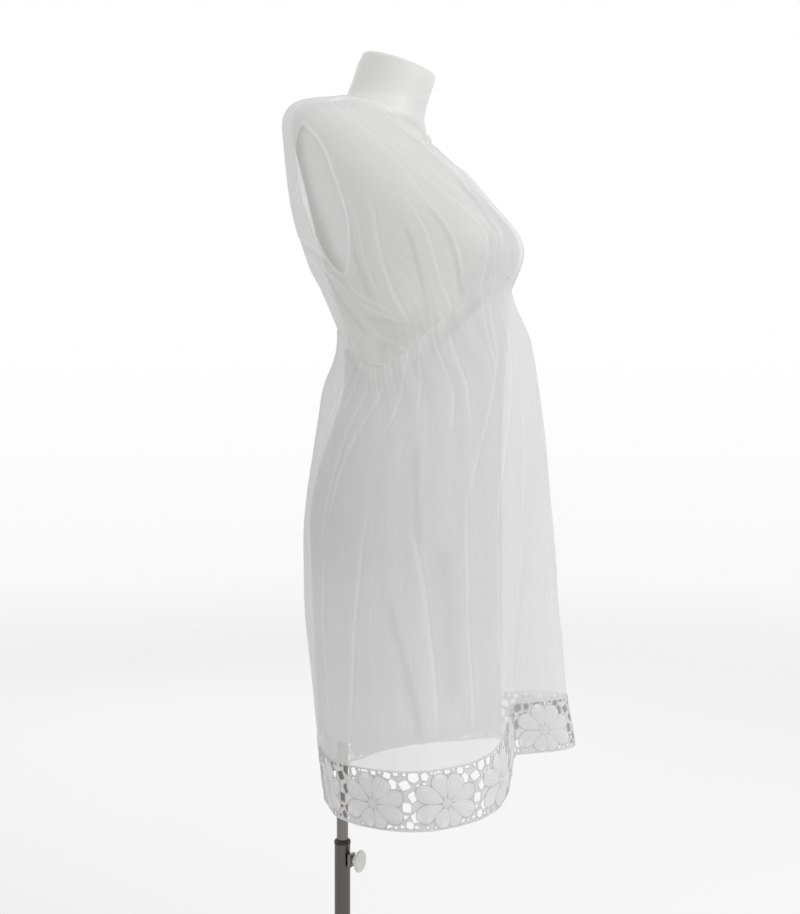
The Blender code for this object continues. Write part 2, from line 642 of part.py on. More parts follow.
def lace_border(name, first, count):
    """A run of repeats of the hem lace, with its openings cut through, laid on the skirt's form."""
    length = REPEAT_LENGTH * count
    height = LACE_HEIGHT * 1000
    steps = count * LACE_EDGE_STEPS
    edge = [(length * k / steps, 0.0) for k in range(steps + 1)]
    edge += [(length * (1 - k / steps), height) for k in range(steps + 1)]
    points, ties = list(edge), [(k, (k + 1) % len(edge)) for k in range(len(edge))]
    holes = []
    for repeat in range(count):
        offset = REPEAT_LENGTH * repeat
        for hole in HOLES:
            corners = hole_corners(hole, offset)
            begin = len(points)
            ties += [(begin + k, begin + (k + 1) % len(corners)) for k in range(len(corners))]
            points += corners
            holes.append(corners)
        for radius, number, turn in FLOWER_RINGS:
            for k in range(number):
                angle = math.radians(turn) + 2 * math.pi * k / number
                along = offset - REPEAT_FROM + radius * math.sin(angle)
                points.append((along, FLOWER_ABOVE_EDGE + 0.8 * radius * math.cos(angle)))
    flat, _, faces, *_ = delaunay_2d_cdt([Vector(p) for p in points], ties, [], 0, 1e-5)
    kept = []
    for face in faces:
        middle = sum((flat[k] for k in face), Vector((0, 0))) / len(face)
        near = [corners for corners in holes if abs(corners[0][0] - middle.x) < 16]
        if not any(inside(middle, corners) for corners in near):
            kept.append(face)
    sides = {}
    turns, lengths = hem_lengths()
    share = np.array([p.x for p in flat]) / REPEAT_LENGTH + first
    along = share / LACE_REPEATS * lengths[-1]
    ends = np.array([first, first + count]) / LACE_REPEATS * lengths[-1]
    along = np.clip(along, ends[0] + SEAM_GAP / 2, ends[1] - SEAM_GAP / 2)
    turn = np.interp(along, lengths, turns)
    heights = hem_height(turn) + np.array([p.y for p in flat]) / 1000
    bm = bmesh.new()
    front, back = (
        [bm.verts.new(place) for place in skirt_at(turn, heights, lift)] for lift in (0.0, -LACE_CLOTH)
    )
    for face in kept:
        corner = [flat[k] for k in face]
        across = (corner[1] - corner[0]).cross(corner[2] - corner[0])
        ring = list(face) if across > 0 else list(face)[::-1]
        bm.faces.new([front[k] for k in ring])
        bm.faces.new([back[k] for k in ring[::-1]])
        edges = [(ring[k], ring[(k + 1) % len(ring)]) for k in range(len(ring))]
        for pair in edges:
            sides[frozenset(pair)] = None if frozenset(pair) in sides else pair
    for pair in sides.values():
        if pair:
            bm.faces.new((front[pair[1]], front[pair[0]], back[pair[0]], back[pair[1]]))
    bmesh.ops.delete(bm, geom=[vert for vert in bm.verts if not vert.link_faces], context="VERTS")
    return finish_solid(name, bm, "cotton_cutwork")


def dress_form(name):
    """The limbless torso: a closed skin through the figure's rings, flat at its base and neck."""
    turns = np.arange(FIGURE_STEPS) * 360 / FIGURE_STEPS
    bm = bmesh.new()
    rings = []
    for row in FIGURE:
        rings.append([bm.verts.new(place) for place in figure_at(turns, np.full(FIGURE_STEPS, row.height))])
    for below, above in zip(rings, rings[1:]):
        for j in range(FIGURE_STEPS):
            k = (j + 1) % FIGURE_STEPS
            bm.faces.new((below[j], below[k], above[k], above[j]))
    bm.faces.new(rings[0][::-1])
    bm.faces.new(rings[-1])
    return finish_solid(name, bm, "form_shell")


def finish_solid(name, bm, finish):
    mesh_data = bpy.data.meshes.new(name)
    bm.to_mesh(mesh_data)
    bm.free()
    mesh_data.shade_smooth()
    mesh_data.set_sharp_from_angle(angle=math.radians(35))
    return add_object(name, mesh_data, finish)


def turned_solid(name, profile, finish, steps=ROUND_STEPS):
    """A solid turned about its Z axis from a closed profile of radius and height."""
    bm = bmesh.new()
    verts = [bm.verts.new((radius, 0.0, height)) for radius, height in profile]
    edges = [bm.edges.new((verts[k], verts[(k + 1) % len(verts)])) for k in range(len(verts))]
    bmesh.ops.spin(
        bm, geom=verts + edges, axis=(0, 0, 1), cent=(0, 0, 0), angle=2 * math.pi, steps=steps, use_merge=True
    )
    bmesh.ops.remove_doubles(bm, verts=bm.verts, dist=1e-6)
    bmesh.ops.recalc_face_normals(bm, faces=bm.faces)
    return finish_solid(name, bm, finish)


def tube(name, outer, inner, foot, top, finish):
    return turned_solid(name, [(inner, foot), (outer, foot), (outer, top), (inner, top)], finish)


def bore(radius):
    """The radius of a faceted hole that clears a round of the given radius by the fit."""
    return (radius + FIT) / math.cos(math.pi / ROUND_STEPS)


def toward_knob(obj, distance):
    """Turns a piece so that its Z axis runs out along the thumb screw, at the clamp's height."""
    obj.rotation_euler = Euler((math.radians(90), 0, KNOB_TURN))
    out = Vector((math.sin(KNOB_TURN), -math.cos(KNOB_TURN), 0))
    obj.location = Vector((0, 0, CLAMP_HEIGHT)) + out * distance


def screw_cutter(host):
    cutter = turned_solid(
        host.name + "_screw_hole", [(0, 0), (bore(SCREW_RADIUS), 0), (bore(SCREW_RADIUS), 0.03), (0, 0.03)], "steel_tube"
    )
    toward_knob(cutter, 0.0)
    cutter.hide_render = True
    cutter.display_type = "WIRE"
    cut = host.modifiers.new("screw hole", "BOOLEAN")
    cut.operation = "DIFFERENCE"
    cut.object = cutter


def stand():
    """The base plate, its socket, the two tubes, the bushing, the clamp and its thumb screw."""
    turned_solid(
        "base_plate",
        [
            (0, 0),
            (BASE_RADIUS, 0),
            (BASE_RADIUS, BASE_THICKNESS - 0.002),
            (BASE_RADIUS - 0.002, BASE_THICKNESS),
            (0, BASE_THICKNESS),
        ],
        "base_paint",
        BASE_STEPS,
    )
    foot = BASE_THICKNESS + FIT
    outer_bore = bore(POLE_RADIUS + 0.0003)
    socket_bore = bore(OUTER_TUBE_RADIUS)
    turned_solid(
        "base_socket",
        [(socket_bore, foot), (0.026, foot), (0.024, foot + 0.006), (0.015, foot + 0.030), (socket_bore, foot + 0.030)],
        "steel_tube",
    )
    outer = tube("outer_tube", OUTER_TUBE_RADIUS, outer_bore, foot, OUTER_TUBE_TOP, "steel_tube")
    screw_cutter(outer)
    bush_foot = OUTER_TUBE_TOP + FIT
    bush_bore = bore(POLE_RADIUS)
    turned_solid(
        "bushing",
        [
            (bush_bore, bush_foot),
            (OUTER_TUBE_RADIUS + 0.0005, bush_foot),
            (OUTER_TUBE_RADIUS + 0.0005, bush_foot + 0.004),
            (OUTER_TUBE_RADIUS - 0.001, bush_foot + 0.0055),
            (bush_bore, bush_foot + 0.0055),
        ],
        "black_plastic",
    )
    inner_top = FIGURE[0].height - 0.0195 - FIT
    tube("inner_tube", POLE_RADIUS, POLE_RADIUS - 0.002, INNER_TUBE_FOOT, inner_top, "steel_tube")
    turned_solid(
        "form_flange",
        [
            (0, inner_top + FIT),
            (POLE_RADIUS + 0.001, inner_top + FIT),
            (FLANGE_RADIUS, inner_top + 0.013),
            (FLANGE_RADIUS, FIGURE[0].height - FIT),
            (0, FIGURE[0].height - FIT),
        ],
        "steel_tube",
    )
    block_start = OUTER_TUBE_RADIUS + FIT
    bm = bmesh.new()
    bmesh.ops.create_cube(bm, size=1.0)
    bmesh.ops.scale(bm, vec=(0.014, 0.018, 0.006), verts=bm.verts)
    bmesh.ops.bevel(
        bm, geom=bm.edges[:], offset=0.001, segments=1, profile=0.5, affect="EDGES", material=-1, clamp_overlap=True
    )
    block = finish_solid("clamp_block", bm, "steel_tube")
    toward_knob(block, block_start + 0.003)
    screw_cutter(block)
    disc = 0.028
    screw = turned_solid(
        "thumb_screw",
        [
            (0, POLE_RADIUS + FIT),
            (SCREW_RADIUS, POLE_RADIUS + FIT),
            (SCREW_RADIUS, block_start + 0.0075),
            (0.0065, block_start + 0.0085),
            (0.0065, disc - 0.002),
            (0.0142, disc - 0.002),
            (0.0150, disc - 0.0012),
            (0.0150, disc + 0.0012),
            (0.0142, disc + 0.002),
            (0, disc + 0.002),
        ],
        "grey_knob",
    )
    toward_knob(screw, 0.0)


def dress():
    """The maker's pieces: bodice, bindings, trims, skirt, lining and hem lace."""
    bodice_front("front_right", -1, 0.4)
    bodice_front("front_left", 1, 1.9)
    bodice_back("back")
    neck_binding("neck_binding")
    armhole_binding("armhole_binding_right", -1)
    armhole_binding("armhole_binding_left", 1)
    lace_trim("neck_lace_right", -1, SIDE_ROWS + ARMHOLE_ROWS - BOUND_ROWS)
    lace_trim("neck_lace_left", 1, LEFT_TRIM_ROWS)

    def skirt_top(turn):
        return seam_height(turn) - 2 * SEAM_GAP

    def skirt_foot(turn):
        return hem_height(turn) + LACE_HEIGHT + SEAM_GAP

    def lining_top(turn):
        return seam_height(turn) - LINING_BELOW_SEAM

    def lining_foot(turn):
        return np.full(np.shape(turn), LINING_HEM)

    for name, start in (("skirt_front", -90), ("skirt_back", 90)):
        panel_round(
            name, skirt_at, start, SKIRT_COLUMNS, skirt_top, skirt_foot, SKIRT_ROWS, "cotton_voile"
        )
    for name, start in (("lining_front", -90), ("lining_back", 90)):
        panel_round(
            name, lining_at, start, LINING_COLUMNS, lining_top, lining_foot, LINING_ROWS, "cotton_lining"
        )
    half = LACE_REPEATS // 2
    lace_border("hem_lace_right", 0, half)
    lace_border("hem_lace_left", half, LACE_REPEATS - half)


clear_scene()
dress_form("dress_form")
dress()
stand()
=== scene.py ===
"""A sheer white summer dress with a cutwork lace hem on a limbless form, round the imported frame."""
import math
from collections import namedtuple

import bmesh
import bpy
import numpy as np
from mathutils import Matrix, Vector


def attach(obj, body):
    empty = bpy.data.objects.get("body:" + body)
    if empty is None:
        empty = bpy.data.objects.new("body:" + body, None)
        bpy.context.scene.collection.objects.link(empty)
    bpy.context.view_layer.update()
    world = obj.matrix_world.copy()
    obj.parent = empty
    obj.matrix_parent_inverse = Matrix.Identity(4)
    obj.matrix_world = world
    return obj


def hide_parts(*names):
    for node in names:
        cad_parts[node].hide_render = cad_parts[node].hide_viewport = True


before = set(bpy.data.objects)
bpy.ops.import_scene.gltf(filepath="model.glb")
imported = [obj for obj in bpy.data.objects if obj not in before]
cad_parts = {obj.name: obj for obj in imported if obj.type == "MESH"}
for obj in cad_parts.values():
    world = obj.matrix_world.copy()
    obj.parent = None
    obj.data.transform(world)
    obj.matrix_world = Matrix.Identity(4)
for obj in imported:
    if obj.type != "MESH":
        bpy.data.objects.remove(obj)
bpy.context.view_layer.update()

# The studio: the camera stands at the wearer's right side, a little to the front, level with the waist.
# A wide pale floor fades into an even white surround, which lights the sheer cloth from all round.
CAMERA_PLACE = (-1.617, -0.674, 0.973)
CAMERA_TURN = math.radians(-70)
CAMERA_LENS = 49.4
CAMERA_SHIFT = -0.0252
FLOOR_SIZE, FLOOR_SEGMENTS = 24.0, 96
FLOOR_NEAR, FLOOR_FAR = 0.8, 7.0
CAMERA_AHEAD = (0.94, 0.34, 0.0)
LIGHT_FROM_BELOW, LIGHT_FROM_CAMERA_SIDE = 0.90, 0.96
FLOOR_BELOW_BASE = 0.0005
SOFTBOX_AIM = (0, -0.1, 1.0)


def rows_of(kind, rows):
    """A table whose rows have named columns."""
    return [kind(*row) for row in rows]


def linear(hex_colour):
    """The linear colour of an sRGB hex value."""
    channels = [int(hex_colour[k : k + 2], 16) / 255 for k in (1, 3, 5)]
    return tuple(c / 12.92 if c <= 0.04045 else ((c + 0.055) / 1.055) ** 2.4 for c in channels) + (1.0,)


def add_node(tree, kind, inputs=(), **settings):
    """A new shader node with its settings. Its inputs are values, other nodes or their sockets."""
    node = tree.nodes.new("ShaderNode" + kind)
    for name, value in settings.items():
        setattr(node, name, value)
    for key, value in dict(inputs).items():
        if isinstance(value, bpy.types.Node):
            value = value.outputs[0]
        if isinstance(value, bpy.types.NodeSocket):
            tree.links.new(value, node.inputs[key])
        else:
            node.inputs[key].default_value = value
    return node


def new_material(name):
    made = bpy.data.materials.new(name)
    made.use_nodes = True
    made.node_tree.nodes.clear()
    return made, made.node_tree


camera_data = bpy.data.cameras.new("camera")
camera_data.lens = CAMERA_LENS
camera_data.shift_y = CAMERA_SHIFT
camera = bpy.data.objects.new("camera", camera_data)
camera.location = CAMERA_PLACE
camera.rotation_euler = (math.radians(90), 0, CAMERA_TURN)
bpy.context.scene.collection.objects.link(camera)
bpy.context.scene.camera = camera
bpy.context.scene.view_settings.view_transform = "Standard"

world = bpy.data.worlds.new("white_surround")
world.use_nodes = True
sky = world.node_tree
sky.nodes.clear()
sky_place = add_node(sky, "TexCoord")
sky_split = add_node(sky, "SeparateXYZ", {0: sky_place.outputs["Generated"]})
sky_fade = add_node(
    sky,
    "MapRange",
    {0: sky_split.outputs["Z"], 1: -0.30, 2: 0.12, 3: LIGHT_FROM_BELOW, 4: 1.0},
    interpolation_type="SMOOTHSTEP",
)
# The wall behind the camera is a little dimmer, so that the sheer cloth is lit from behind
sky_side = add_node(
    sky,
    "VectorMath",
    {0: sky_place.outputs["Generated"], 1: CAMERA_AHEAD},
    operation="DOT_PRODUCT",
)
sky_dim = add_node(
    sky,
    "MapRange",
    {0: sky_side.outputs["Value"], 1: -0.6, 2: 0.3, 3: LIGHT_FROM_CAMERA_SIDE, 4: 1.0},
)
sky_level = add_node(sky, "Math", {0: sky_fade, 1: sky_dim}, operation="MULTIPLY")
surround = add_node(sky, "Background", {0: (1, 1, 1, 1), 1: sky_level})
add_node(sky, "OutputWorld", {0: surround})
bpy.context.scene.world = world

floor_mesh = bpy.data.meshes.new("floor")
bm = bmesh.new()
bmesh.ops.create_circle(bm, cap_ends=True, segments=FLOOR_SEGMENTS, radius=FLOOR_SIZE / 2)
bm.to_mesh(floor_mesh)
bm.free()
floor = bpy.data.objects.new("floor", floor_mesh)
floor.location.z = -FLOOR_BELOW_BASE
bpy.context.scene.collection.objects.link(floor)
floor_look, tree = new_material("matt_white_floor")
floor_place = add_node(tree, "TexCoord")
floor_reach = add_node(tree, "VectorMath", {0: floor_place.outputs["Object"]}, operation="LENGTH")
floor_fade = add_node(
    tree,
    "MapRange",
    {0: floor_reach.outputs["Value"], 1: FLOOR_NEAR, 2: FLOOR_FAR, 3: 0.0, 4: 1.0},
    interpolation_type="SMOOTHSTEP",
)
floor_paint = add_node(tree, "BsdfDiffuse", {"Color": linear("#E7E7E7")})
floor_clear = add_node(tree, "BsdfTransparent")
floor_mix = add_node(tree, "MixShader", {0: floor_fade, 1: floor_paint, 2: floor_clear})
add_node(tree, "OutputMaterial", {0: floor_mix})
floor.data.materials.append(floor_look)

for name, place, size, power in (
    ("front_softbox", (-0.6, -3.2, 2.6), 2.2, 44),
    ("back_softbox", (2.6, 1.6, 2.2), 2.4, 12),
):
    lamp_data = bpy.data.lights.new(name, "AREA")
    lamp_data.shape = "SQUARE"
    lamp_data.size = size
    lamp_data.energy = power
    lamp = bpy.data.objects.new(name, lamp_data)
    lamp.location = place
    lamp.rotation_euler = (Vector(SOFTBOX_AIM) - Vector(place)).to_track_quat("-Z", "Y").to_euler()
    bpy.context.scene.collection.objects.link(lamp)

# The dress form: a smooth limbless torso of lacquered foam, turned in at the neck and closed at the base.
# Its levels are ellipses on a leaning centre line: height, centre, half width, depth before and behind, tilt.
FigureLevel = namedtuple("FigureLevel", "height centre half_width front back tilt", defaults=[0.0])
FIGURE = rows_of(FigureLevel, [
    (0.790, -0.095, 0.168, 0.066, 0.110),
    (0.830, -0.095, 0.174, 0.069, 0.114),
    (0.870, -0.096, 0.176, 0.072, 0.115),
    (0.920, -0.098, 0.168, 0.078, 0.106),
    (0.980, -0.103, 0.150, 0.087, 0.092),
    (1.040, -0.108, 0.132, 0.094, 0.083),
    (1.100, -0.110, 0.134, 0.098, 0.088),
    (1.160, -0.106, 0.142, 0.106, 0.104),
    (1.200, -0.100, 0.146, 0.112, 0.112),
    (1.240, -0.090, 0.150, 0.115, 0.112),
    (1.280, -0.072, 0.160, 0.116, 0.101),
    (1.310, -0.056, 0.170, 0.115, 0.088),
    (1.340, -0.038, 0.179, 0.110, 0.072),
    (1.360, -0.027, 0.183, 0.102, 0.061),
    (1.375, -0.020, 0.180, 0.094, 0.052),
    (1.388, -0.016, 0.166, 0.090, 0.043),
    (1.399, -0.018, 0.140, 0.094, 0.038),
    (1.408, -0.024, 0.108, 0.090, 0.034),
    (1.416, -0.034, 0.082, 0.083, 0.033),
    (1.428, -0.055, 0.064, 0.067, 0.046),
    (1.445, -0.070, 0.058, 0.056, 0.053, 0.10),
    (1.463, -0.078, 0.055, 0.053, 0.053, 0.22),
    (1.4815, -0.0855, 0.052, 0.049, 0.049, 0.346),
])
BUST_HEIGHT = 1.233
BUST_APART = 0.078
BUST_FULLNESS = 0.0375
BUST_SPREAD = 0.042
FORM_EDGE = 0.006
FORM_COLUMNS, FORM_ROWS = 96, 150


def reader(levels):
    """A function that reads a table, whose first column rises, smoothly and without overshoot."""
    table = np.array(levels, float)
    keys, values = table[:, 0], table[:, 1:]
    steps = np.diff(keys)
    rises = np.diff(values, axis=0) / steps[:, None]
    product = rises[:-1] * rises[1:]
    total = np.where(np.abs(rises[:-1] + rises[1:]) > 1e-12, rises[:-1] + rises[1:], 1.0)
    inner = np.where(product > 0, 2 * product / total, 0.0)
    slopes = np.vstack([rises[:1], inner, rises[-1:]])

    def read(key):
        key = np.clip(np.asarray(key, float), keys[0], keys[-1])
        at = np.clip(np.searchsorted(keys, key, side="right") - 1, 0, len(steps) - 1)
        step = steps[at][..., None]
        share = ((key - keys[at])[..., None]) / step
        return (
            (2 * share**3 - 3 * share**2 + 1) * values[at]
            + (share**3 - 2 * share**2 + share) * step * slopes[at]
            + (3 * share**2 - 2 * share**3) * values[at + 1]
            + (share**3 - share**2) * step * slopes[at + 1]
        )

    return read


def smooth_step(share):
    share = np.clip(share, 0.0, 1.0)
    return share * share * (3 - 2 * share)


def lengths_along(places):
    """The length from the first of a row of points to each of them."""
    return np.concatenate([[0.0], np.cumsum(np.linalg.norm(np.diff(places, axis=0), axis=1))])


figure_level = reader(FIGURE)


def figure_at(turn, height):
    """The form's skin at a turn in degrees from centre front, to the wearer's left, and a height."""
    centre, half, front, back, tilt = np.moveaxis(figure_level(height), -1, 0)
    across, ahead = np.sin(np.radians(turn)), np.cos(np.radians(turn))
    x = half * across
    y = centre - np.where(ahead > 0, front, back) * ahead
    rise = np.exp(-0.5 * ((height - BUST_HEIGHT) / BUST_SPREAD) ** 2)
    both = sum(np.exp(-0.5 * ((x - side * BUST_APART) / BUST_SPREAD) ** 2) for side in (-1, 1))
    y = y - BUST_FULLNESS * rise * both * smooth_step(ahead / 0.5)
    return np.stack([x, y, height + tilt * (y - centre)], axis=-1)


def laid_grid(columns, rows, place, close=False):
    """A grid of faces with its UV map from 0 to 1, laid where place(across, up) says.

    close welds its two sides. A fourth value from place is the painted shading that the material reads, from
    -1 for painted shade in a hollow to 1 for a painted highlight on a crest.
    """
    bm = bmesh.new()
    uv = bm.loops.layers.uv.new("UVMap")
    painted_shading = bm.verts.layers.float.new("painted_shading")
    bmesh.ops.create_grid(bm, x_segments=columns, y_segments=rows, size=0.5)
    for face in bm.faces:
        for loop in face.loops:
            loop[uv].uv = (loop.vert.co.x + 0.5, loop.vert.co.y + 0.5)
    flat = np.array([vert.co for vert in bm.verts])
    places = place(np.clip(flat[:, 0] + 0.5, 0, 1), np.clip(flat[:, 1] + 0.5, 0, 1))
    for vert, spot in zip(bm.verts, places):
        vert.co = spot[:3]
        vert[painted_shading] = spot[3] if len(spot) > 3 else 0.0
    if close:
        bmesh.ops.remove_doubles(bm, verts=bm.verts, dist=1e-6)
    return bm


def mesh_from(bm, name="flat"):
    mesh = bpy.data.meshes.new(name)
    bm.to_mesh(mesh)
    bm.free()
    return mesh


def finished(name, bm, look, sharp=40):
    """An object made from the bmesh, which goes up and down with the form and has its finish in a slot."""
    mesh = mesh_from(bm, name)
    mesh.shade_smooth()
    mesh.set_sharp_from_angle(angle=math.radians(sharp))
    mesh.materials.append(look)
    piece = bpy.data.objects.new(name, mesh)
    bpy.context.scene.collection.objects.link(piece)
    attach(piece, "upper")
    return piece


def form_skin(across, up):
    height = FIGURE[0].height + (FIGURE[-1].height - FIGURE[0].height) * up
    return figure_at(across * 360, height)


bm = laid_grid(FORM_COLUMNS, FORM_ROWS, form_skin, close=True)
rims = [edge for edge in bm.edges if edge.is_boundary]
caps = bmesh.ops.holes_fill(bm, edges=rims, sides=0)["faces"]
bmesh.ops.recalc_face_normals(bm, faces=bm.faces)
bmesh.ops.bevel(
    bm,
    geom=list({edge for face in caps for edge in face.edges}),
    offset=FORM_EDGE,
    segments=4,
    profile=0.5,
    affect="EDGES",
    material=-1,
)
form_look, tree = new_material("satin_lacquer")
# Satin lacquer over foam: a soft even white with faint broad unevenness from sanding
form_place = add_node(tree, "TexCoord")
form_noise = add_node(
    tree, "TexNoise", {"Vector": form_place.outputs["Object"], "Scale": 14.0, "Detail": 3.0}
)
form_tint = add_node(
    tree,
    "Mix",
    {0: form_noise.outputs["Fac"], "A": linear("#CDCDCC"), "B": linear("#D2D2D1")},
    data_type="RGBA",
)
form_bump = add_node(
    tree, "Bump", {"Height": form_noise.outputs["Fac"], "Strength": 0.08, "Distance": 0.002}
)
form_shader = add_node(
    tree,
    "BsdfPrincipled",
    {"Base Color": form_tint.outputs["Result"], "Roughness": 0.48, "Normal": form_bump},
)
add_node(tree, "OutputMaterial", {0: form_shader})
form = finished("form_skin", bm, form_look)
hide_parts("dress_form")

# The bodice: two gathered fronts of sheer cotton voile, the right one crossed over the left, and a back in
# one piece, all cut to stand a little off the form and gathered into the empire seam and the shoulder seams.
CLOTH = 0.0015
SEAM_GAP = 0.00034
UNDER_FRONT_DROP = 0.0060
UNDER_TURN, UNDER_TURN_FADE = 70, 18
UNDER_HEIGHT, UNDER_HEIGHT_FADE = 1.335, 0.030
SHOWN_TURN, SHOWN_TURN_FADE = 46, 14
SHOWN_HEIGHT, SHOWN_HEIGHT_FADE = 1.30, 0.03
FRONT_CROSSING = 33.0
EaseLevel = namedtuple("EaseLevel", "height side front back")
EASE = rows_of(EaseLevel, [
    (1.040, 0.0080, 0.0140, 0.0100),
    (1.100, 0.0090, 0.0140, 0.0100),
    (1.130, 0.0090, 0.0140, 0.0130),
    (1.160, 0.0080, 0.0140, 0.0160),
    (1.200, 0.0090, 0.0130, 0.0240),
    (1.240, 0.0100, 0.0125, 0.0290),
    (1.280, 0.0090, 0.0140, 0.0300),
    (1.310, 0.0080, 0.0150, 0.0285),
    (1.340, 0.0065, 0.0080, 0.0245),
    (1.360, 0.0070, 0.0070, 0.0210),
    (1.375, 0.0084, 0.0066, 0.0205),
    (1.390, 0.0074, 0.0080, 0.0185),
    (1.428, 0.0040, 0.0066, 0.0070),
])
LEVEL_BELOW = 1.22
TILTED_ABOVE = 1.30
HeightAt = namedtuple("HeightAt", "turn height")
SEAM = rows_of(HeightAt, [
    (0, 1.1870),
    (5, 1.1862),
    (12, 1.1810),
    (25, 1.165),
    (52, 1.114),
    (75, 1.073),
    (90, 1.060),
    (105, 1.068),
    (124, 1.091),
    (150, 1.110),
    (180, 1.116),
])
SIDE_SEAM = [(90, 1.060), (96, 1.100), (106, 1.145), (112, 1.170)]
ARMHOLE_FRONT = [
    (112, 1.170), (105, 1.188), (99, 1.225), (95, 1.260),
    (90, 1.300), (86, 1.330), (86, 1.350), (90, 1.364),
]
ARMHOLE_BACK = [
    (112, 1.170), (121, 1.190), (127, 1.225), (128, 1.265),
    (124, 1.305), (114, 1.338), (101, 1.355), (90, 1.364),
]
SHOULDER_SEAM = [(90, 1.364), (90, 1.380), (90, 1.391), (90, 1.400), (90, 1.407), (90, 1.414)]
NECKLINE = [
    (90, 1.414), (58, 1.4055), (34, 1.3935), (20, 1.3825), (14, 1.362), (8, 1.329),
    (3, 1.307), (-3, 1.288), (-13, 1.262), (-24, 1.235), (-30, 1.200),
]
BACK_NECK = [(90, 1.414), (120, 1.412), (150, 1.407), (180, 1.404)]
NECKLINE_POINTS, SEAM_POINTS = 13, 90
FRONT_GATHERS, BACK_GATHERS, FINE_GATHERS = 8, 9, 27
FRONT_COLUMNS, BACK_COLUMNS, BODICE_ROWS = 240, 280, 130
FRONT_CUT = (0.40, 0.34)
BACK_CUT = (0.46, 0.34)
# The folds that the photo shows, and others like them: start, middle and end as shares across and up the
# piece, how far the crest rises and how wide it is in metres, and whether its end is caught in a seam, so
# that it doesn't fade out there. A fold that falls has a rise below 0.
Crease = namedtuple(
    "Crease", "across_1 up_1 across_2 up_2 across_3 up_3 rise width caught", defaults=[False]
)
FRONT_CREASES = rows_of(Crease, [
    (0.645, 0.92, 0.565, 0.45, 0.500, 0.00, 0.0009, 0.0010, True),
    (0.700, 0.94, 0.640, 0.45, 0.600, 0.01, 0.0007, 0.0009, True),
    (0.770, 0.94, 0.700, 0.52, 0.665, 0.16, 0.0007, 0.0009),
    (0.850, 0.95, 0.765, 0.55, 0.720, 0.26, 0.0006, 0.0009),
    (0.920, 0.90, 0.860, 0.52, 0.800, 0.12, 0.0005, 0.0009),
    (0.385, 0.52, 0.335, 0.24, 0.345, 0.02, 0.0008, 0.0010, True),
    (0.310, 0.42, 0.275, 0.24, 0.247, 0.03, -0.0008, 0.0014),
    (0.440, 0.42, 0.392, 0.21, 0.405, 0.02, -0.0007, 0.0012, True),
    (0.500, 0.52, 0.440, 0.29, 0.420, 0.04, 0.0007, 0.0009),
    (0.018, 0.62, 0.038, 0.43, 0.063, 0.20, -0.0008, 0.0018),
    (0.060, 0.62, 0.105, 0.40, 0.095, 0.20, 0.0006, 0.0010),
    (0.195, 0.60, 0.180, 0.30, 0.170, 0.04, 0.0004, 0.0018),
    (0.565, 0.28, 0.552, 0.14, 0.560, 0.00, 0.0008, 0.0009, True),
    (0.610, 0.24, 0.604, 0.12, 0.610, 0.00, 0.0007, 0.0009, True),
    (0.655, 0.22, 0.652, 0.10, 0.655, 0.00, 0.0007, 0.0009, True),
    (0.705, 0.20, 0.704, 0.10, 0.700, 0.00, 0.0007, 0.0009, True),
    (0.760, 0.20, 0.760, 0.10, 0.755, 0.00, 0.0006, 0.0009, True),
    (0.000, 0.33, 0.050, 0.24, 0.130, 0.13, 0.0007, 0.0009),
    (0.000, 0.26, 0.060, 0.18, 0.150, 0.08, 0.0006, 0.0009),
    (0.000, 0.19, 0.080, 0.12, 0.210, 0.01, -0.0008, 0.0017, True),
    (0.000, 0.14, 0.050, 0.08, 0.120, 0.00, 0.0007, 0.0010, True),
    (0.000, 0.08, 0.120, 0.06, 0.300, 0.03, -0.0004, 0.0060),
])
BACK_CREASES = rows_of(Crease, [
    (0.600, 0.46, 0.780, 0.36, 1.000, 0.31, 0.0008, 0.0011),
    (0.560, 0.36, 0.740, 0.27, 1.000, 0.24, 0.0008, 0.0010),
    (0.640, 0.39, 0.800, 0.31, 1.000, 0.27, -0.0007, 0.0015),
    (0.700, 0.26, 0.816, 0.11, 0.910, 0.01, 0.0008, 0.0011, True),
    (0.760, 0.30, 0.880, 0.16, 1.000, 0.10, -0.0006, 0.0016),
    (0.930, 0.86, 0.900, 0.60, 0.905, 0.40, 0.0007, 0.0009),
    (0.890, 0.84, 0.860, 0.60, 0.845, 0.38, 0.0006, 0.0009),
    (0.400, 0.46, 0.220, 0.34, 0.000, 0.32, 0.0008, 0.0011),
    (0.430, 0.34, 0.250, 0.26, 0.000, 0.23, 0.0007, 0.0011),
    (0.300, 0.24, 0.190, 0.12, 0.100, 0.01, 0.0007, 0.0011, True),
    (0.230, 0.32, 0.120, 0.18, 0.000, 0.11, -0.0006, 0.0016),
    (0.070, 0.86, 0.100, 0.60, 0.095, 0.40, 0.0006, 0.0009),
    (0.520, 0.90, 0.500, 0.50, 0.530, 0.05, 0.0006, 0.0015),
    (0.420, 0.86, 0.440, 0.45, 0.420, 0.05, 0.0005, 0.0013),
    (0.610, 0.84, 0.585, 0.50, 0.600, 0.06, -0.0005, 0.0019),
])
SOFT_SIDE = 2.0
FOLD_STEPS = 15
FOLD_FADE = 0.2
SHADOW_AWAY, SHADOW_SHARE = 2.3, 0.5
METRES_A_DEGREE = 0.0029
SIDE_FADE, NECK_FADE = 0.05, 0.06
BROAD_RISE, BROAD_RISE_ABOVE, BROAD_REACH = 0.0014, 0.0006, 0.40
FINE_RISE_FRONT, FINE_RISE_BACK, FINE_RISE_SKIRT = 0.0009, 0.0008, 0.0007
SEAM_REACH, SHOULDER_REACH, SHOULDER_SHARE = 0.16, 0.14, 0.45
# How strong the painted shading on the gathers is: a painted highlight on their crests and painted shade
# between them
FINE_PAINTED_SHADING, BROAD_PAINTED_SHADING = 0.4, 0.15

ease_level = reader(EASE)
seam_level = reader(SEAM)


def turned(turn):
    """The turn brought between -180 and 180 degrees."""
    return (np.asarray(turn, float) + 180.0) % 360.0 - 180.0


def seam_height(turn):
    return seam_level(np.abs(turned(turn)))[..., 0]


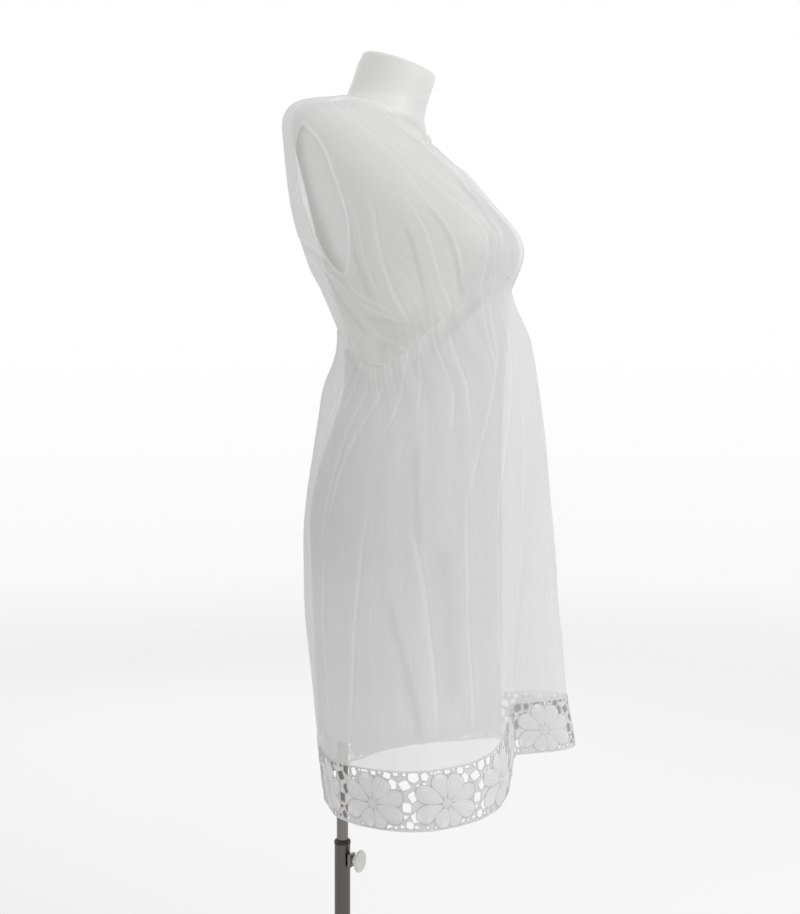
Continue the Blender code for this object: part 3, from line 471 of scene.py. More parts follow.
def normalised(vectors):
    return vectors / np.linalg.norm(vectors, axis=-1, keepdims=True)


def bodice_at(turn, height, lift=0.0):
    """The bodice's outer face, which stands off the figure by its ease and by what a fold lifts it."""
    turn, height = np.asarray(turn, float), np.asarray(height, float)
    by_turn = figure_at(turn + 0.5, height) - figure_at(turn - 0.5, height)
    by_height = figure_at(turn, height + 0.0005) - figure_at(turn, height - 0.0005)
    outward = normalised(np.cross(by_turn, by_height))
    tilted = smooth_step((height - LEVEL_BELOW) / (TILTED_ABOVE - LEVEL_BELOW))
    outward = outward * np.stack([np.ones_like(tilted), np.ones_like(tilted), tilted], axis=-1)
    side, front, back = np.moveaxis(ease_level(height), -1, 0)
    ahead = np.cos(np.radians(turn))
    ease = side * (1 - ahead**2) + np.where(ahead > 0, front, back) * ahead**2
    return figure_at(turn, height) + outward * (ease + lift)[..., None]


def ripple(place, count, phase):
    """Uneven soft ripples between 0 and 1, count of them while place goes from 0 to 1."""
    round_once = 2 * math.pi * place
    wander = 0.33 * np.sin(1.7 * round_once + phase) + 0.21 * np.sin(3.1 * round_once + 2 * phase)
    size = 0.72 + 0.28 * np.sin(2.3 * round_once + 3 * phase)
    return size * (0.5 - 0.5 * np.cos(2 * math.pi * (count * place + wander)))


def creases(place, count, phase, keenness):
    """Uneven narrow ridges between 0 and 1 with wide hollows between them."""
    return ripple(place, count, phase) ** keenness


def creased(turn, height, lines, table):
    """How far folds lift a cloth, and their painted shading, where lines holds each fold's three turns and
    heights.

    A fold is crisp on one side and soft on the other. Its crest gets a painted highlight, or painted shade
    where it falls, and a painted shadow lies past its crisp side.
    """
    scale = (METRES_A_DEGREE, 1.0)
    spots = np.stack([turn, height], axis=-1) * scale
    lift, painted_shading = np.zeros(len(spots)), np.zeros(len(spots))
    for crease, points in zip(table, lines):
        start, middle, end = np.array(points) * scale
        bend = 2 * middle - (start + end) / 2
        shares = np.linspace(0, 1, FOLD_STEPS)[:, None]
        line = (1 - shares) ** 2 * start + 2 * shares * (1 - shares) * bend + shares**2 * end
        nearest = np.full(len(spots), np.inf)
        signed, along = np.zeros(len(spots)), np.zeros(len(spots))
        for k, (a, b) in enumerate(zip(line, line[1:])):
            step = b - a
            share = np.clip((spots - a) @ step / (step @ step), 0, 1)
            off = spots - a - share[:, None] * step
            away = np.linalg.norm(off, axis=1)
            closer = away < nearest
            side = np.sign(step[0] * off[:, 1] - step[1] * off[:, 0])
            nearest = np.where(closer, away, nearest)
            signed = np.where(closer, away * side, signed)
            along = np.where(closer, (k + share) / (len(line) - 1), along)
        shown = smooth_step(along / FOLD_FADE) * smooth_step((1 - along) / FOLD_FADE)
        shown = np.where((along <= 0) | (along >= 1), 0.0, shown)
        if crease.caught:
            shown = np.where(along > 0.5, 1.0, shown)
        width = np.where(signed > 0, crease.width, SOFT_SIDE * crease.width)
        crest = np.exp(-0.5 * (signed / width) ** 2) * shown
        shadow = np.exp(-0.5 * (signed / crease.width - SHADOW_AWAY) ** 2) * shown
        lift += crease.rise * crest
        painted_shading += np.sign(crease.rise) * crest - SHADOW_SHARE * shadow
    return lift, painted_shading


def smooth_path(points, steps=16):
    """A Catmull-Rom curve through pairs of turn and height."""
    points = np.array(points, float)
    padded = np.vstack([2 * points[0] - points[1], points, 2 * points[-1] - points[-2]])
    shares = np.linspace(0, 1, steps, endpoint=False)[:, None]
    path = [
        0.5
        * (
            2 * start
            + (end - before) * shares
            + (2 * before - 5 * start + 4 * end - after) * shares**2
            + (3 * start - before - 3 * end + after) * shares**3
        )
        for before, start, end, after in zip(padded, padded[1:], padded[2:], padded[3:])
    ]
    return np.vstack(path + [points[-1:]])


def along_path(path, shares):
    """Points at the given shares of the path's length on the bodice."""
    path = np.array(path, float)
    length = lengths_along(bodice_at(path[:, 0], path[:, 1]))
    return np.stack([np.interp(np.asarray(shares) * length[-1], length, path[:, k]) for k in (0, 1)], axis=-1)


def mirrored(path, side):
    """A pattern edge on one side of the figure: 1 is the wearer's left and -1 the right."""
    return np.array(path, float) * (side, 1)


def to_far_side(path):
    """The path mirrored behind the figure, so that its turns go on past 180 degrees."""
    return mirrored(path, -1) + (360, 0)


def fold_ends(table):
    """The three points of each fold in a table, one after another."""
    return np.array([row[:6] for row in table]).reshape(-1, 2)


def patch_at(bottom, top, left, right, across, up):
    """Where a piece cut between four edges lies, at shares across and up it, as turns and heights."""
    a, u = across[:, None], up[:, None]
    corners = [along_path(path, [share])[0] for path, share in ((bottom, 0), (bottom, 1), (top, 0), (top, 1))]
    ruled = (
        (1 - u) * along_path(bottom, across)
        + u * along_path(top, across)
        + (1 - a) * along_path(left, up)
        + a * along_path(right, up)
    )
    crossed = (1 - u) * ((1 - a) * corners[0] + a * corners[1]) + u * ((1 - a) * corners[2] + a * corners[3])
    return ruled - crossed


def seam_path(start, end):
    """The empire seam between two turns."""
    turns = np.linspace(start, end, SEAM_POINTS)
    return np.stack([turns, seam_height(turns)], axis=-1)


def neckline_edge(side):
    """A front's neckline from its shoulder across the centre front to the empire seam."""
    whole = smooth_path(mirrored(NECKLINE + [(-FRONT_CROSSING, float(seam_height(FRONT_CROSSING)))], side))
    return smooth_path(along_path(whole, np.linspace(0, 1, NECKLINE_POINTS)))


def side_edge(side, armhole):
    """The side seam and then an armhole's edge, both from below."""
    return np.vstack([smooth_path(mirrored(SIDE_SEAM, side)), smooth_path(mirrored(armhole, side))[1:]])


def under_drop(turn, height):
    """How far the left front lies inside the right front where the two cross."""
    by_turn = smooth_step((UNDER_TURN - turn) / UNDER_TURN_FADE)
    return -UNDER_FRONT_DROP * by_turn * smooth_step((UNDER_HEIGHT - height) / UNDER_HEIGHT_FADE)


def front_place(side, phase):
    """Where a front lies, and its painted shading. The left one has no folds where the right one covers it.
    """
    bottom = seam_path(90 * side, -FRONT_CROSSING * side)
    top = mirrored(SHOULDER_SEAM, side)
    left = side_edge(side, ARMHOLE_FRONT)
    right = neckline_edge(side)[::-1]
    # The left front has the same folds, moved a little sideways
    ends = fold_ends(FRONT_CREASES)
    ends[:, 0] += 0.0 if side < 0 else 0.03 * np.sin(5 * ends[:, 1])
    lines = patch_at(bottom, top, left, right, *ends.T).reshape(-1, 3, 2)

    def place(across, up):
        spot = patch_at(bottom, top, left, right, across, up)
        turn, height = spot[:, 0], spot[:, 1]
        edges = smooth_step((1 - across) / NECK_FADE) * smooth_step(across / SIDE_FADE)
        rise = BROAD_RISE * (1 - smooth_step(up / BROAD_REACH)) + BROAD_RISE_ABOVE
        broad = ripple(across + 0.02 * up, FRONT_GATHERS, phase)
        near_seam = np.exp(-up / SEAM_REACH) + SHOULDER_SHARE * np.exp(-(1 - up) / SHOULDER_REACH)
        fine = near_seam * creases(across, FINE_GATHERS, phase + 1.0, 1.6)
        raised, painted_shading = creased(turn, height, lines, FRONT_CREASES)
        lift = (rise * broad + FINE_RISE_FRONT * fine + raised) * edges
        # Painted highlights on the gathers' crests, and painted shade between them and near the seams
        painted_shading = painted_shading + FINE_PAINTED_SHADING * (fine - 0.3 * near_seam) + BROAD_PAINTED_SHADING * (broad - 0.4)
        if side > 0:
            by_turn = smooth_step((turn - SHOWN_TURN) / SHOWN_TURN_FADE)
            by_height = smooth_step((height - SHOWN_HEIGHT) / SHOWN_HEIGHT_FADE)
            lift = lift * np.maximum(by_turn, by_height) + under_drop(turn, height)
        return np.column_stack([bodice_at(turn, height, lift - CLOTH / 2), painted_shading])

    return place


def back_place(across, up):
    """Where the back lies, from the wearer's left side seam to the right one, and its painted shading."""
    bottom = seam_path(90, 270)
    left = side_edge(1, ARMHOLE_BACK)
    right = to_far_side(left)
    half = np.vstack([SHOULDER_SEAM, smooth_path(BACK_NECK)[1:]])
    top = np.vstack([half, to_far_side(half)[::-1][1:]])
    spot = patch_at(bottom, top, left, right, across, up)
    edges = smooth_step(across / SIDE_FADE) * smooth_step((1 - across) / SIDE_FADE)
    rise = BROAD_RISE * (1 - smooth_step(up / BROAD_REACH)) + BROAD_RISE_ABOVE
    broad = ripple(across, BACK_GATHERS, 2.1)
    fine = np.exp(-up / SHOULDER_REACH) * creases(across, 2 * FINE_GATHERS, 0.7, 1.5)
    lines = patch_at(bottom, top, left, right, *fold_ends(BACK_CREASES).T).reshape(-1, 3, 2)
    raised, painted_shading = creased(spot[:, 0], spot[:, 1], lines, BACK_CREASES)
    lift = (rise * broad + FINE_RISE_BACK * fine + raised) * edges
    # Painted highlights on the gathers' crests and painted shade between them
    painted_shading = painted_shading + FINE_PAINTED_SHADING * fine + BROAD_PAINTED_SHADING * (broad - 0.4)
    return np.column_stack([bodice_at(spot[:, 0], spot[:, 1], lift - CLOTH / 2), painted_shading])


VOILE_SHEER = 0.27
VOILE_SHINE_THROUGH = 0.44
# A cloth's colour scaled down for painted shade and up for a painted highlight
PAINTED_SHADE, PAINTED_HIGHLIGHT = 0.91, 1.09


def painted_shading_share(tree):
    """The painted shading of a piece's faces brought between 0 and 1."""
    painted_shading = add_node(tree, "Attribute", attribute_name="painted_shading")
    return add_node(tree, "MapRange", {0: painted_shading.outputs["Fac"], 1: -1.0, 2: 1.0, 3: 0.0, 4: 1.0})


def thread_noise(tree, grain, detail):
    """Noise drawn out along the threads, on the UV map in metres."""
    laid = add_node(tree, "UVMap", uv_map="UVMap")
    run = add_node(tree, "Mapping", {0: laid, "Scale": grain})
    noise = add_node(tree, "TexNoise", {"Vector": run, "Scale": 1.0, "Detail": detail})
    return laid, noise.outputs["Fac"]


def darkened(tree, amount, noise, share):
    """A share between dark and light with the noise taken off by an amount."""
    return add_node(tree, "Math", {0: noise, 1: -amount, 2: share}, operation="MULTIPLY_ADD")


def sheer_cotton(name, colour, sheer, shine_through, thread=0.0011):
    """Plain-woven cotton on its UV map in metres, with its thread drawn coarser so that it shows."""
    made, tree = new_material(name)
    laid, slubs = thread_noise(tree, (420.0, 26.0, 1.0), 3.0)
    cloudy = add_node(tree, "TexNoise", {"Vector": laid, "Scale": 9.0, "Detail": 3.0})
    warp, weft = (
        add_node(
            tree,
            "TexWave",
            {"Vector": laid, "Scale": 0.314 / thread, "Distortion": 0.6, "Detail": 1.0},
            bands_direction=direction,
        )
        for direction in ("X", "Y")
    )
    weave = add_node(tree, "Math", {0: warp.outputs["Fac"], 1: weft.outputs["Fac"]}, operation="MULTIPLY")
    rough = add_node(tree, "Math", {0: slubs, 1: weave}, operation="ADD")
    bump = add_node(tree, "Bump", {"Height": rough, "Strength": 0.16, "Distance": 0.0004})
    uneven = add_node(tree, "Math", {0: slubs, 1: cloudy.outputs["Fac"]}, operation="MULTIPLY")
    # Painted shading: a painted highlight on the crests of folds and painted shade in the hollows beside them
    mixed = darkened(tree, 0.18, uneven, painted_shading_share(tree))
    dark, light = (tuple(k * c for c in linear(colour)[:3]) + (1.0,) for k in (PAINTED_SHADE, PAINTED_HIGHLIGHT))
    tint = add_node(tree, "Mix", {0: mixed, "A": dark, "B": light}, data_type="RGBA")
    cloth = add_node(
        tree,
        "BsdfPrincipled",
        {
            "Base Color": tint.outputs["Result"],
            "Roughness": 0.85,
            "Sheen Weight": 0.15,
            "Sheen Roughness": 0.5,
            "Normal": bump,
        },
    )
    behind = add_node(tree, "BsdfTranslucent", {"Color": tint.outputs["Result"], "Normal": bump})
    glow = add_node(tree, "MixShader", {0: shine_through, 1: cloth, 2: behind})
    clear = add_node(tree, "BsdfTransparent")
    net = add_node(tree, "MapRange", {0: uneven, 1: 0.0, 2: 0.6, 3: sheer + 0.06, 4: sheer - 0.06})
    whole = add_node(tree, "MixShader", {0: net, 1: glow, 2: clear})
    add_node(tree, "OutputMaterial", {0: whole})
    return made


def cut_to(bm, width, length):
    """Stretches the UV map from 0 to 1 to the cut's size in metres."""
    uv = bm.loops.layers.uv.active
    for face in bm.faces:
        for loop in face.loops:
            loop[uv].uv = (loop[uv].uv.x * width, loop[uv].uv.y * length)
    return bm


voile = sheer_cotton("sheer_voile", "#E9E9E9", VOILE_SHEER, VOILE_SHINE_THROUGH)

for node, side, phase in (("front_right", -1, 0.4), ("front_left", 1, 1.9)):
    bm = laid_grid(FRONT_COLUMNS, BODICE_ROWS, front_place(side, phase))
    if side < 0:
        bmesh.ops.reverse_faces(bm, faces=bm.faces)
    piece = finished(node + "_cloth", cut_to(bm, *FRONT_CUT), voile)
    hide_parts(node)

bm = laid_grid(BACK_COLUMNS, BODICE_ROWS, back_place)
back_cloth = finished("back_cloth", cut_to(bm, *BACK_CUT), voile)
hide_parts("back")

# The bindings: a bias strip of voile rolled over the edge of the neck and of each armhole, 4.5 mm wide, and
# the same strip as a narrow welt that covers the gathers along the empire seam.
BINDING_WIDTH = 0.0045
BINDING_HEIGHT = 0.0008
WELT_WIDTH = 0.0040
BOUND_SHARE = 0.27
STRIP_STEPS = 8
STRIP_POINTS = 90
STRIP_BACK = 2.2
SLOPE_STEP = 0.006


def rounded(up):
    """The height of a round back at a share across it."""
    return np.sqrt(np.clip(1 - (2 * up - 1) ** 2, 0, 1))


def directions_along(path, closed=False):
    """A path's points on the bodice, its face's two directions, and the way to the left seen from outside."""
    here = bodice_at(path[:, 0], path[:, 1])
    by_turn = bodice_at(path[:, 0] + 0.5, path[:, 1]) - bodice_at(path[:, 0] - 0.5, path[:, 1])
    # A wide step, because the cloth turns sharply where the shoulder slope meets the neck
    above, below = (bodice_at(path[:, 0], path[:, 1] + step) for step in (SLOPE_STEP, -SLOPE_STEP))
    by_height = (above - below) / (2 * SLOPE_STEP)
    if closed:
        along = np.roll(here, -1, axis=0) - np.roll(here, 1, axis=0)
    else:
        along = np.gradient(here, axis=0)
    return here, by_turn, by_height, normalised(np.cross(np.cross(by_turn, by_height), along))


def shifted(path, distance):
    """The path moved sideways in the bodice's face."""
    by_turn, by_height, side = directions_along(path)[1:]
    side = side * distance
    moved = path.copy()
    for k in range(len(path)):
        basis = np.stack([by_turn[k], by_height[k]], axis=1)
        moved[k] += np.linalg.lstsq(basis, side[k], rcond=None)[0]
    return moved


def rolled_strip(name, path, width, height, closed=False, start=0.0):
    """A strip with a round back, from start to width left of a path on the bodice."""
    here, by_turn, by_height, side = directions_along(path, closed)
    outward = normalised(np.cross(by_turn, by_height))

    def place(across, up):
        at = np.round(across * (len(path) - (0 if closed else 1))).astype(int) % len(path)
        away = start + (width - start) * up
        rise = height * (STRIP_BACK * rounded(up) - 1.0)
        return here[at] + side[at] * away[:, None] + outward[at] * rise[:, None]

    places = bodice_at(path[:, 0], path[:, 1])
    ends = np.roll(places, -1, axis=0) if closed else places[1:]
    length = float(np.linalg.norm(ends - places[: len(ends)], axis=1).sum())
    bm = laid_grid(len(path) if closed else len(path) - 1, STRIP_STEPS, place, close=closed)
    piece = finished(name, cut_to(bm, length, width - start), voile, sharp=80)
    return piece


left_neck = along_path(neckline_edge(1), np.linspace(0, BOUND_SHARE, 40))
right_neck = along_path(neckline_edge(-1), np.linspace(0, BOUND_SHARE, 40)) + (360, 0)
back_half = smooth_path(BACK_NECK)
whole_back = np.vstack([back_half, to_far_side(back_half)[::-1][1:]])
back_neck = along_path(whole_back, np.linspace(0, 1, STRIP_POINTS))
neck_path = np.vstack([left_neck[::-1], back_neck[1:], right_neck[1:]])
piece = rolled_strip("neck_binding_roll", neck_path, BINDING_WIDTH, BINDING_HEIGHT)
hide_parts("neck_binding")
for node, side in (("armhole_binding_right", -1), ("armhole_binding_left", 1)):
    front_edge, back_edge = (
        along_path(smooth_path(mirrored(edge, side)), np.linspace(0, 1, STRIP_POINTS))
        for edge in (ARMHOLE_FRONT, ARMHOLE_BACK)
    )
    loop = np.vstack([front_edge, back_edge[::-1][1:]])[:-1]
    piece = rolled_strip(node + "_roll", loop[::-side], BINDING_WIDTH, BINDING_HEIGHT, closed=True)
    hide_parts(node)
round_turns = np.arange(-180, 180)
welt_path = np.stack([round_turns, seam_height(round_turns)], axis=-1)
half = WELT_WIDTH / 2
rolled_strip("empire_seam_welt", welt_path, half, BINDING_HEIGHT, closed=True, start=-half)

# The skirt: sheer voile, gathered into the empire seam, falling clear of the form in a few deep lobes.
# Its rings pass through the troughs between the lobes, and fine gathers fade out down the fall.
RingLevel = namedtuple("RingLevel", "height centre half_width front back")
SKIRT = rows_of(RingLevel, [
    (0.500, -0.164, 0.224, 0.177, 0.180),
    (0.550, -0.158, 0.221, 0.177, 0.178),
    (0.600, -0.151, 0.218, 0.174, 0.174),
    (0.640, -0.148, 0.215, 0.173, 0.173),
    (0.690, -0.143, 0.213, 0.173, 0.171),
    (0.740, -0.138, 0.210, 0.172, 0.171),
    (0.800, -0.135, 0.206, 0.171, 0.170),
    (0.850, -0.132, 0.203, 0.168, 0.167),
    (0.900, -0.131, 0.197, 0.163, 0.161),
    (0.950, -0.132, 0.187, 0.157, 0.155),
    (1.000, -0.132, 0.172, 0.150, 0.149),
    (1.050, -0.131, 0.156, 0.143, 0.143),
    (1.100, -0.130, 0.150, 0.134, 0.128),
    (1.200, -0.128, 0.150, 0.125, 0.125),
])
SKIRT_SETTLES = 0.09
HEM = rows_of(HeightAt, [
    (-180, 0.500),
    (-90, 0.501),
    (-60, 0.504),
    (-45, 0.510),
    (-32, 0.519),
    (-18, 0.534),
    (-5, 0.540),
    (28, 0.540),
    (50, 0.531),
    (90, 0.512),
    (180, 0.500),
])
Fold = namedtuple("Fold", "turn depth width_before width_after start")
FOLDS = rows_of(Fold, [
    (8, 0.098, 40, 9, 0.12),
    (-62, 0.007, 9, 9, 0.30),
    (-134, 0.010, 7, 7, 0.35),
    (-152, 0.016, 9, 8, 0.60),
    (160, 0.006, 7, 6, 0.30),
    (138, 0.005, 7, 7, 0.30),
    (111, 0.016, 9, 9, 0.25),
    (78, 0.013, 8, 9, 0.30),
    (46, 0.022, 8, 9, 0.10),
])
GATHERS_ROUND = 33
GATHER_RISE = 0.0026
GATHER_RISE_HEM = 0.0010
FOLDS_FULL_AT, SKIRT_FINE_REACH = 1.15, 0.10
LACE_HEIGHT = 0.070
SKIRT_COLUMNS, SKIRT_ROWS = 500, 96
SKIRT_ABOVE_LACE = (0.62, 0.56)
SKIRT_TOP, SKIRT_FALL = 0.0, 0.60
# The skirt's folds in the photo, and like ones on its far side. Their columns across are turns in degrees,
# and their columns up are shares of the fall from the seam, on a plan that is SKIRT_FALL metres long.
SKIRT_CREASES = rows_of(Crease, [
    (-94, 0.00, -113, 0.20, -121, 0.46, 0.0010, 0.0012),
    (-82, 0.02, -106, 0.18, -118, 0.42, 0.0008, 0.0012),
    (-70, 0.00, -79, 0.07, -92, 0.16, 0.0007, 0.0011),
    (-64, 0.00, -68, 0.06, -76, 0.13, 0.0006, 0.0009),
    (-104, 0.00, -111, 0.07, -120, 0.16, 0.0008, 0.0011),
    (-112, 0.00, -120, 0.09, -131, 0.20, 0.0007, 0.0011),
    (-95, 0.32, -101, 0.52, -111, 0.90, 0.0008, 0.0012),
    (-75.5, 0.18, -74.5, 0.30, -73, 0.44, -0.0006, 0.0017),
    (-78, 0.34, -71, 0.58, -71, 0.86, 0.0008, 0.0014),
    (-88, 0.50, -82, 0.66, -76, 0.86, -0.0008, 0.0021),
    (-17, 0.00, -40, 0.20, -52, 0.38, 0.0010, 0.0012),
    (-52, 0.33, -53.5, 0.58, -52, 0.92, 0.0010, 0.0012),
    (-14, 0.02, -31, 0.30, -36, 0.50, 0.0010, 0.0012),
    (-36, 0.44, -33.5, 0.70, -27, 0.95, 0.0010, 0.0012),
    (-18, 0.20, -12, 0.60, -10, 0.98, 0.0010, 0.0012),
    (-45, 0.02, -52, 0.11, -50, 0.23, 0.0006, 0.0012),
    (-55, 0.00, -58, 0.10, -60, 0.22, 0.0006, 0.0012),
    (-25, 0.00, -33, 0.10, -38, 0.20, 0.0007, 0.0009),
    (-119, 0.44, -122, 0.64, -123, 0.90, 0.0008, 0.0012),
    (-64, 0.40, -62, 0.60, -63, 0.80, -0.0004, 0.0038),
    (-146, 0.00, -149, 0.40, -150, 0.90, 0.0008, 0.0014),
    (-166, 0.00, -168, 0.45, -166, 0.92, 0.0008, 0.0014),
    (172, 0.00, 174, 0.40, 176, 0.80, 0.0008, 0.0013),
    (149, 0.02, 152, 0.45, 153, 0.94, 0.0008, 0.0014),
    (127, 0.00, 133, 0.25, 135, 0.60, 0.0008, 0.0012),
    (118, 0.00, 123, 0.16, 129, 0.34, 0.0008, 0.0012),
    (94, 0.00, 108, 0.20, 120, 0.48, 0.0009, 0.0012),
    (84, 0.02, 100, 0.20, 112, 0.50, 0.0008, 0.0012),
    (96, 0.36, 99, 0.60, 98, 0.92, 0.0008, 0.0013),
    (66, 0.00, 64, 0.30, 66, 0.80, 0.0008, 0.0013),
    (52, 0.02, 60, 0.24, 64, 0.52, -0.0007, 0.0019),
    (36, 0.00, 34, 0.35, 30, 0.90, 0.0010, 0.0012),
    (22, 0.00, 26, 0.30, 26, 0.66, 0.0008, 0.0012),
])
skirt_level = reader(SKIRT)
hem_level = reader(HEM)


def hem_height(turn):
    return hem_level(turned(turn))[..., 0]


def ring_at(row, turn):
    centre, half, front, back = np.moveaxis(row, -1, 0)
    across, ahead = np.sin(np.radians(turn)), np.cos(np.radians(turn))
    depth = np.where(ahead > 0, front, back)
    flat = np.stack([half * across, centre - depth * ahead], axis=-1)
    outward = normalised(np.stack([across / half, -ahead / depth], axis=-1))
    return flat, outward


def skirt_at(turn, height, lift=0.0):
    """The skirt's outer face: gathered on the bodice's edge at the empire seam, and lobed at the hem."""
    turn, height = np.asarray(turn, float), np.asarray(height, float)
    seam, hem = seam_height(turn), hem_height(turn)
    fall = np.clip((seam - height) / (seam - hem), 0.0, 1.0)
    flat, outward = ring_at(skirt_level(height), turn)
    settled = smooth_step((seam - height) / SKIRT_SETTLES)[..., None]
    flat = bodice_at(turn, seam)[..., :2] * (1 - settled) + flat * settled
    dent = np.zeros_like(fall)
    for fold in FOLDS:
        away = turned(turn - fold.turn)
        width = np.where(away < 0, fold.width_before, fold.width_after)
        grown = smooth_step((fall - fold.start) / (FOLDS_FULL_AT - fold.start))
        dent += fold.depth * np.exp(-0.5 * (away / width) ** 2) * grown
    rise = GATHER_RISE * (1 - fall) + GATHER_RISE_HEM * fall
    gathers = rise * ripple((turned(turn) + 180) / 360, GATHERS_ROUND, 0.6)
    flat = flat + outward * (gathers - dent + lift)[..., None]
    return np.concatenate([flat, height[..., None]], axis=-1)


def skirt_place(start):
    """Where half of the skirt lies above the lace, from a turn on, and its painted shading."""
    ends = fold_ends(SKIRT_CREASES)
    ends[:, 1] = SKIRT_TOP - SKIRT_FALL * ends[:, 1]

    def place(across, up):
        turn = start + 180 * across
        low = hem_height(turn) + LACE_HEIGHT
        high = seam_height(turn) - 2 * SEAM_GAP
        height = low + (high - low) * up
        fall = (seam_height(turn) - height) / (seam_height(turn) - hem_height(turn))
        level = SKIRT_TOP - SKIRT_FALL * fall
        raised, painted_shading = creased(turned(turn), level, ends.reshape(-1, 3, 2), SKIRT_CREASES)
        round_share = (turned(turn) + 180) / 360
        fine = np.exp(-fall / SKIRT_FINE_REACH) * creases(round_share, 3 * GATHERS_ROUND, 1.4, 1.5)
        at_lace = smooth_step((height - hem_height(turn) - LACE_HEIGHT) / LACE_HEIGHT)
        lift = FINE_RISE_SKIRT * fine + raised * at_lace
        places = skirt_at(turn, height, lift - CLOTH / 2)
        # The folds' painted shading, faded out at the lace, and painted highlights on the fine gathers
        return np.column_stack([places, painted_shading * at_lace + FINE_PAINTED_SHADING * fine])

    return place


for node, start in (("skirt_front", -90), ("skirt_back", 90)):
    bm = laid_grid(SKIRT_COLUMNS, SKIRT_ROWS, skirt_place(start))
    piece = finished(node + "_cloth", cut_to(bm, *SKIRT_ABOVE_LACE), voile)
    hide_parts(node)

# The lining: a plain straight slip of closer cotton, sewn in below the empire seam and hemmed well above
# the lace, so that its lower edge shows through the skirt.
LINING_HEM = 0.588
LINING_BELOW_SEAM = 0.025
LINING = rows_of(RingLevel, [
    (0.588, -0.100, 0.1740, 0.1210, 0.1120),
    (0.740, -0.098, 0.1785, 0.1230, 0.1185),
    (0.860, -0.096, 0.1825, 0.1250, 0.1215),
    (0.920, -0.099, 0.1755, 0.1220, 0.1140),
    (0.980, -0.104, 0.1565, 0.1200, 0.0995),
    (1.040, -0.108, 0.1370, 0.1200, 0.0890),
    (1.100, -0.110, 0.1390, 0.1220, 0.0935),
    (1.165, -0.106, 0.1480, 0.1240, 0.1120),
])
LINING_WAVE, WAVES_ROUND, WAVE_FROM, WAVE_FADE = 0.0015, 7, 0.80, 0.20
LINING_TURNUP, TURNUP_INSIDE, TURNUP_ROWS = 0.015, 0.0006, 4
LINING_COLUMNS, LINING_ROWS = 160, 60
LINING_BELOW_TOP = (0.47, 0.52)
ABOVE_ALL = 9.0
lining_level = reader(LINING)


def lining_at(turn, height, lift=0.0):
    flat, outward = ring_at(lining_level(height), turn)
    low = smooth_step((WAVE_FROM - height) / WAVE_FADE)
    wave = LINING_WAVE * low * np.sin(np.radians(WAVES_ROUND * turn + 40))
    flat = flat + outward * (wave + lift)[..., None]
    return np.concatenate([flat, np.asarray(height)[..., None]], axis=-1)


def lining_place(start, foot, top, lift):
    """Where half of the lining lies from a turn on, between its foot and the seam or a lower top."""

    def place(across, up):
        turn = start + 180 * across
        high = np.minimum(seam_height(turn) - LINING_BELOW_SEAM, top)
        height = foot + (high - foot) * up
        return lining_at(turn, height, np.full_like(height, lift))

    return place


lining_cotton = sheer_cotton("close_cotton", "#D8D8D8", 0.08, 0.30)
for node, start in (("lining_front", -90), ("lining_back", 90)):
    bm = laid_grid(LINING_COLUMNS, LINING_ROWS, lining_place(start, LINING_HEM, ABOVE_ALL, -CLOTH / 2))
    fold_up = lining_place(start, LINING_HEM, LINING_HEM + LINING_TURNUP, -CLOTH / 2 - TURNUP_INSIDE)
    bm.from_mesh(mesh_from(laid_grid(LINING_COLUMNS, TURNUP_ROWS, fold_up)))
    piece = finished(node + "_cloth", cut_to(bm, *LINING_BELOW_TOP), lining_cotton)
    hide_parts(node)

# The hem lace: cutwork flowers in padded satin stitch on cotton, the ground cut away between them and
# bridged by narrow bars, with a corded lower edge. Sizes are in millimetres from a flower's centre.
LACE_REPEATS = 13
LACE_START_TURN, TURN_STEPS = -138.0, 4
FLOWER_ABOVE_EDGE = 30.0
REPEAT_FROM = -30.0
REPEAT_LENGTH = 92.0
LACE_CLOTH = 0.0010
LACE_SHINE_THROUGH = 0.25
LACE_SUNK = 0.2
EDGE_CORD_BASE, OTHER_CORD_BASE = 0.05, 0.1
Opening = namedtuple("Opening", "along up width height corners turn")
OPENINGS = rows_of(Opening, [
    (-24.5, 33.5, 8, 9, 5, 10),
    (-26.0, 22.5, 5, 9, 4, 45),
    (-7.5, 34.0, 10, 9, 6, 0),
    (4.5, 36.0, 8, 5, 4, 45),
    (22.0, 34.5, 10, 8, 4, 60),
    (27.5, 24.5, 10, 11, 5, 0),
    (42.5, 24.0, 13, 11, 4, 20),
    (54.0, 33.5, 11, 11, 6, 0),
    (51.0, 10.5, 10, 12, 4, 15),
    (42.8, -1.8, 11, 12, 4, 50),
    (53.5, -13.5, 12, 11, 5, 0),
    (44.8, -22.0, 8, 8, 6, 0),
    (37.0, -12.5, 13, 5, 4, 75),
    (35.5, -24.0, 7, 5, 3, 90),
    (19.0, -24.5, 9, 6, 3, 90),
    (-5.0, -24.5, 8, 6, 3, 90),
    (-24.5, -17.5, 7, 6, 4, 45),
    (-15.5, 37.0, 4, 3.2, 4, 45),
    (13.0, 37.4, 5, 2.6, 4, 45),
    (33.0, 36.5, 7, 4, 4, 45),
    (43.5, 36.5, 5, 4, 4, 45),
    (36.5, 14.0, 4, 5, 4, 30),
    (-27.0, -25.2, 4, 3.6, 3, 90),
    (-16.5, -26.0, 5, 2.6, 3, 90),
    (8.0, -26.3, 5, 2.4, 4, 45),
    (27.5, -25.6, 4, 3.4, 4, 0),
    (52.5, -24.5, 5, 4, 4, 45),
    (58.5, 23.0, 4, 4, 5, 0),
])
LACE_STEPS, CUTS_ACROSS, CUTS_UP = 46, 23, 10
CORNER_ROUND = 0.13
OPENING_GROWTH = 1.30
RIM_WIDTH = 1.0
RIM_HEIGHT = 0.5
RIM_INSIDE_EDGE = 0.2
Petal = namedtuple("Petal", "turn reach width")
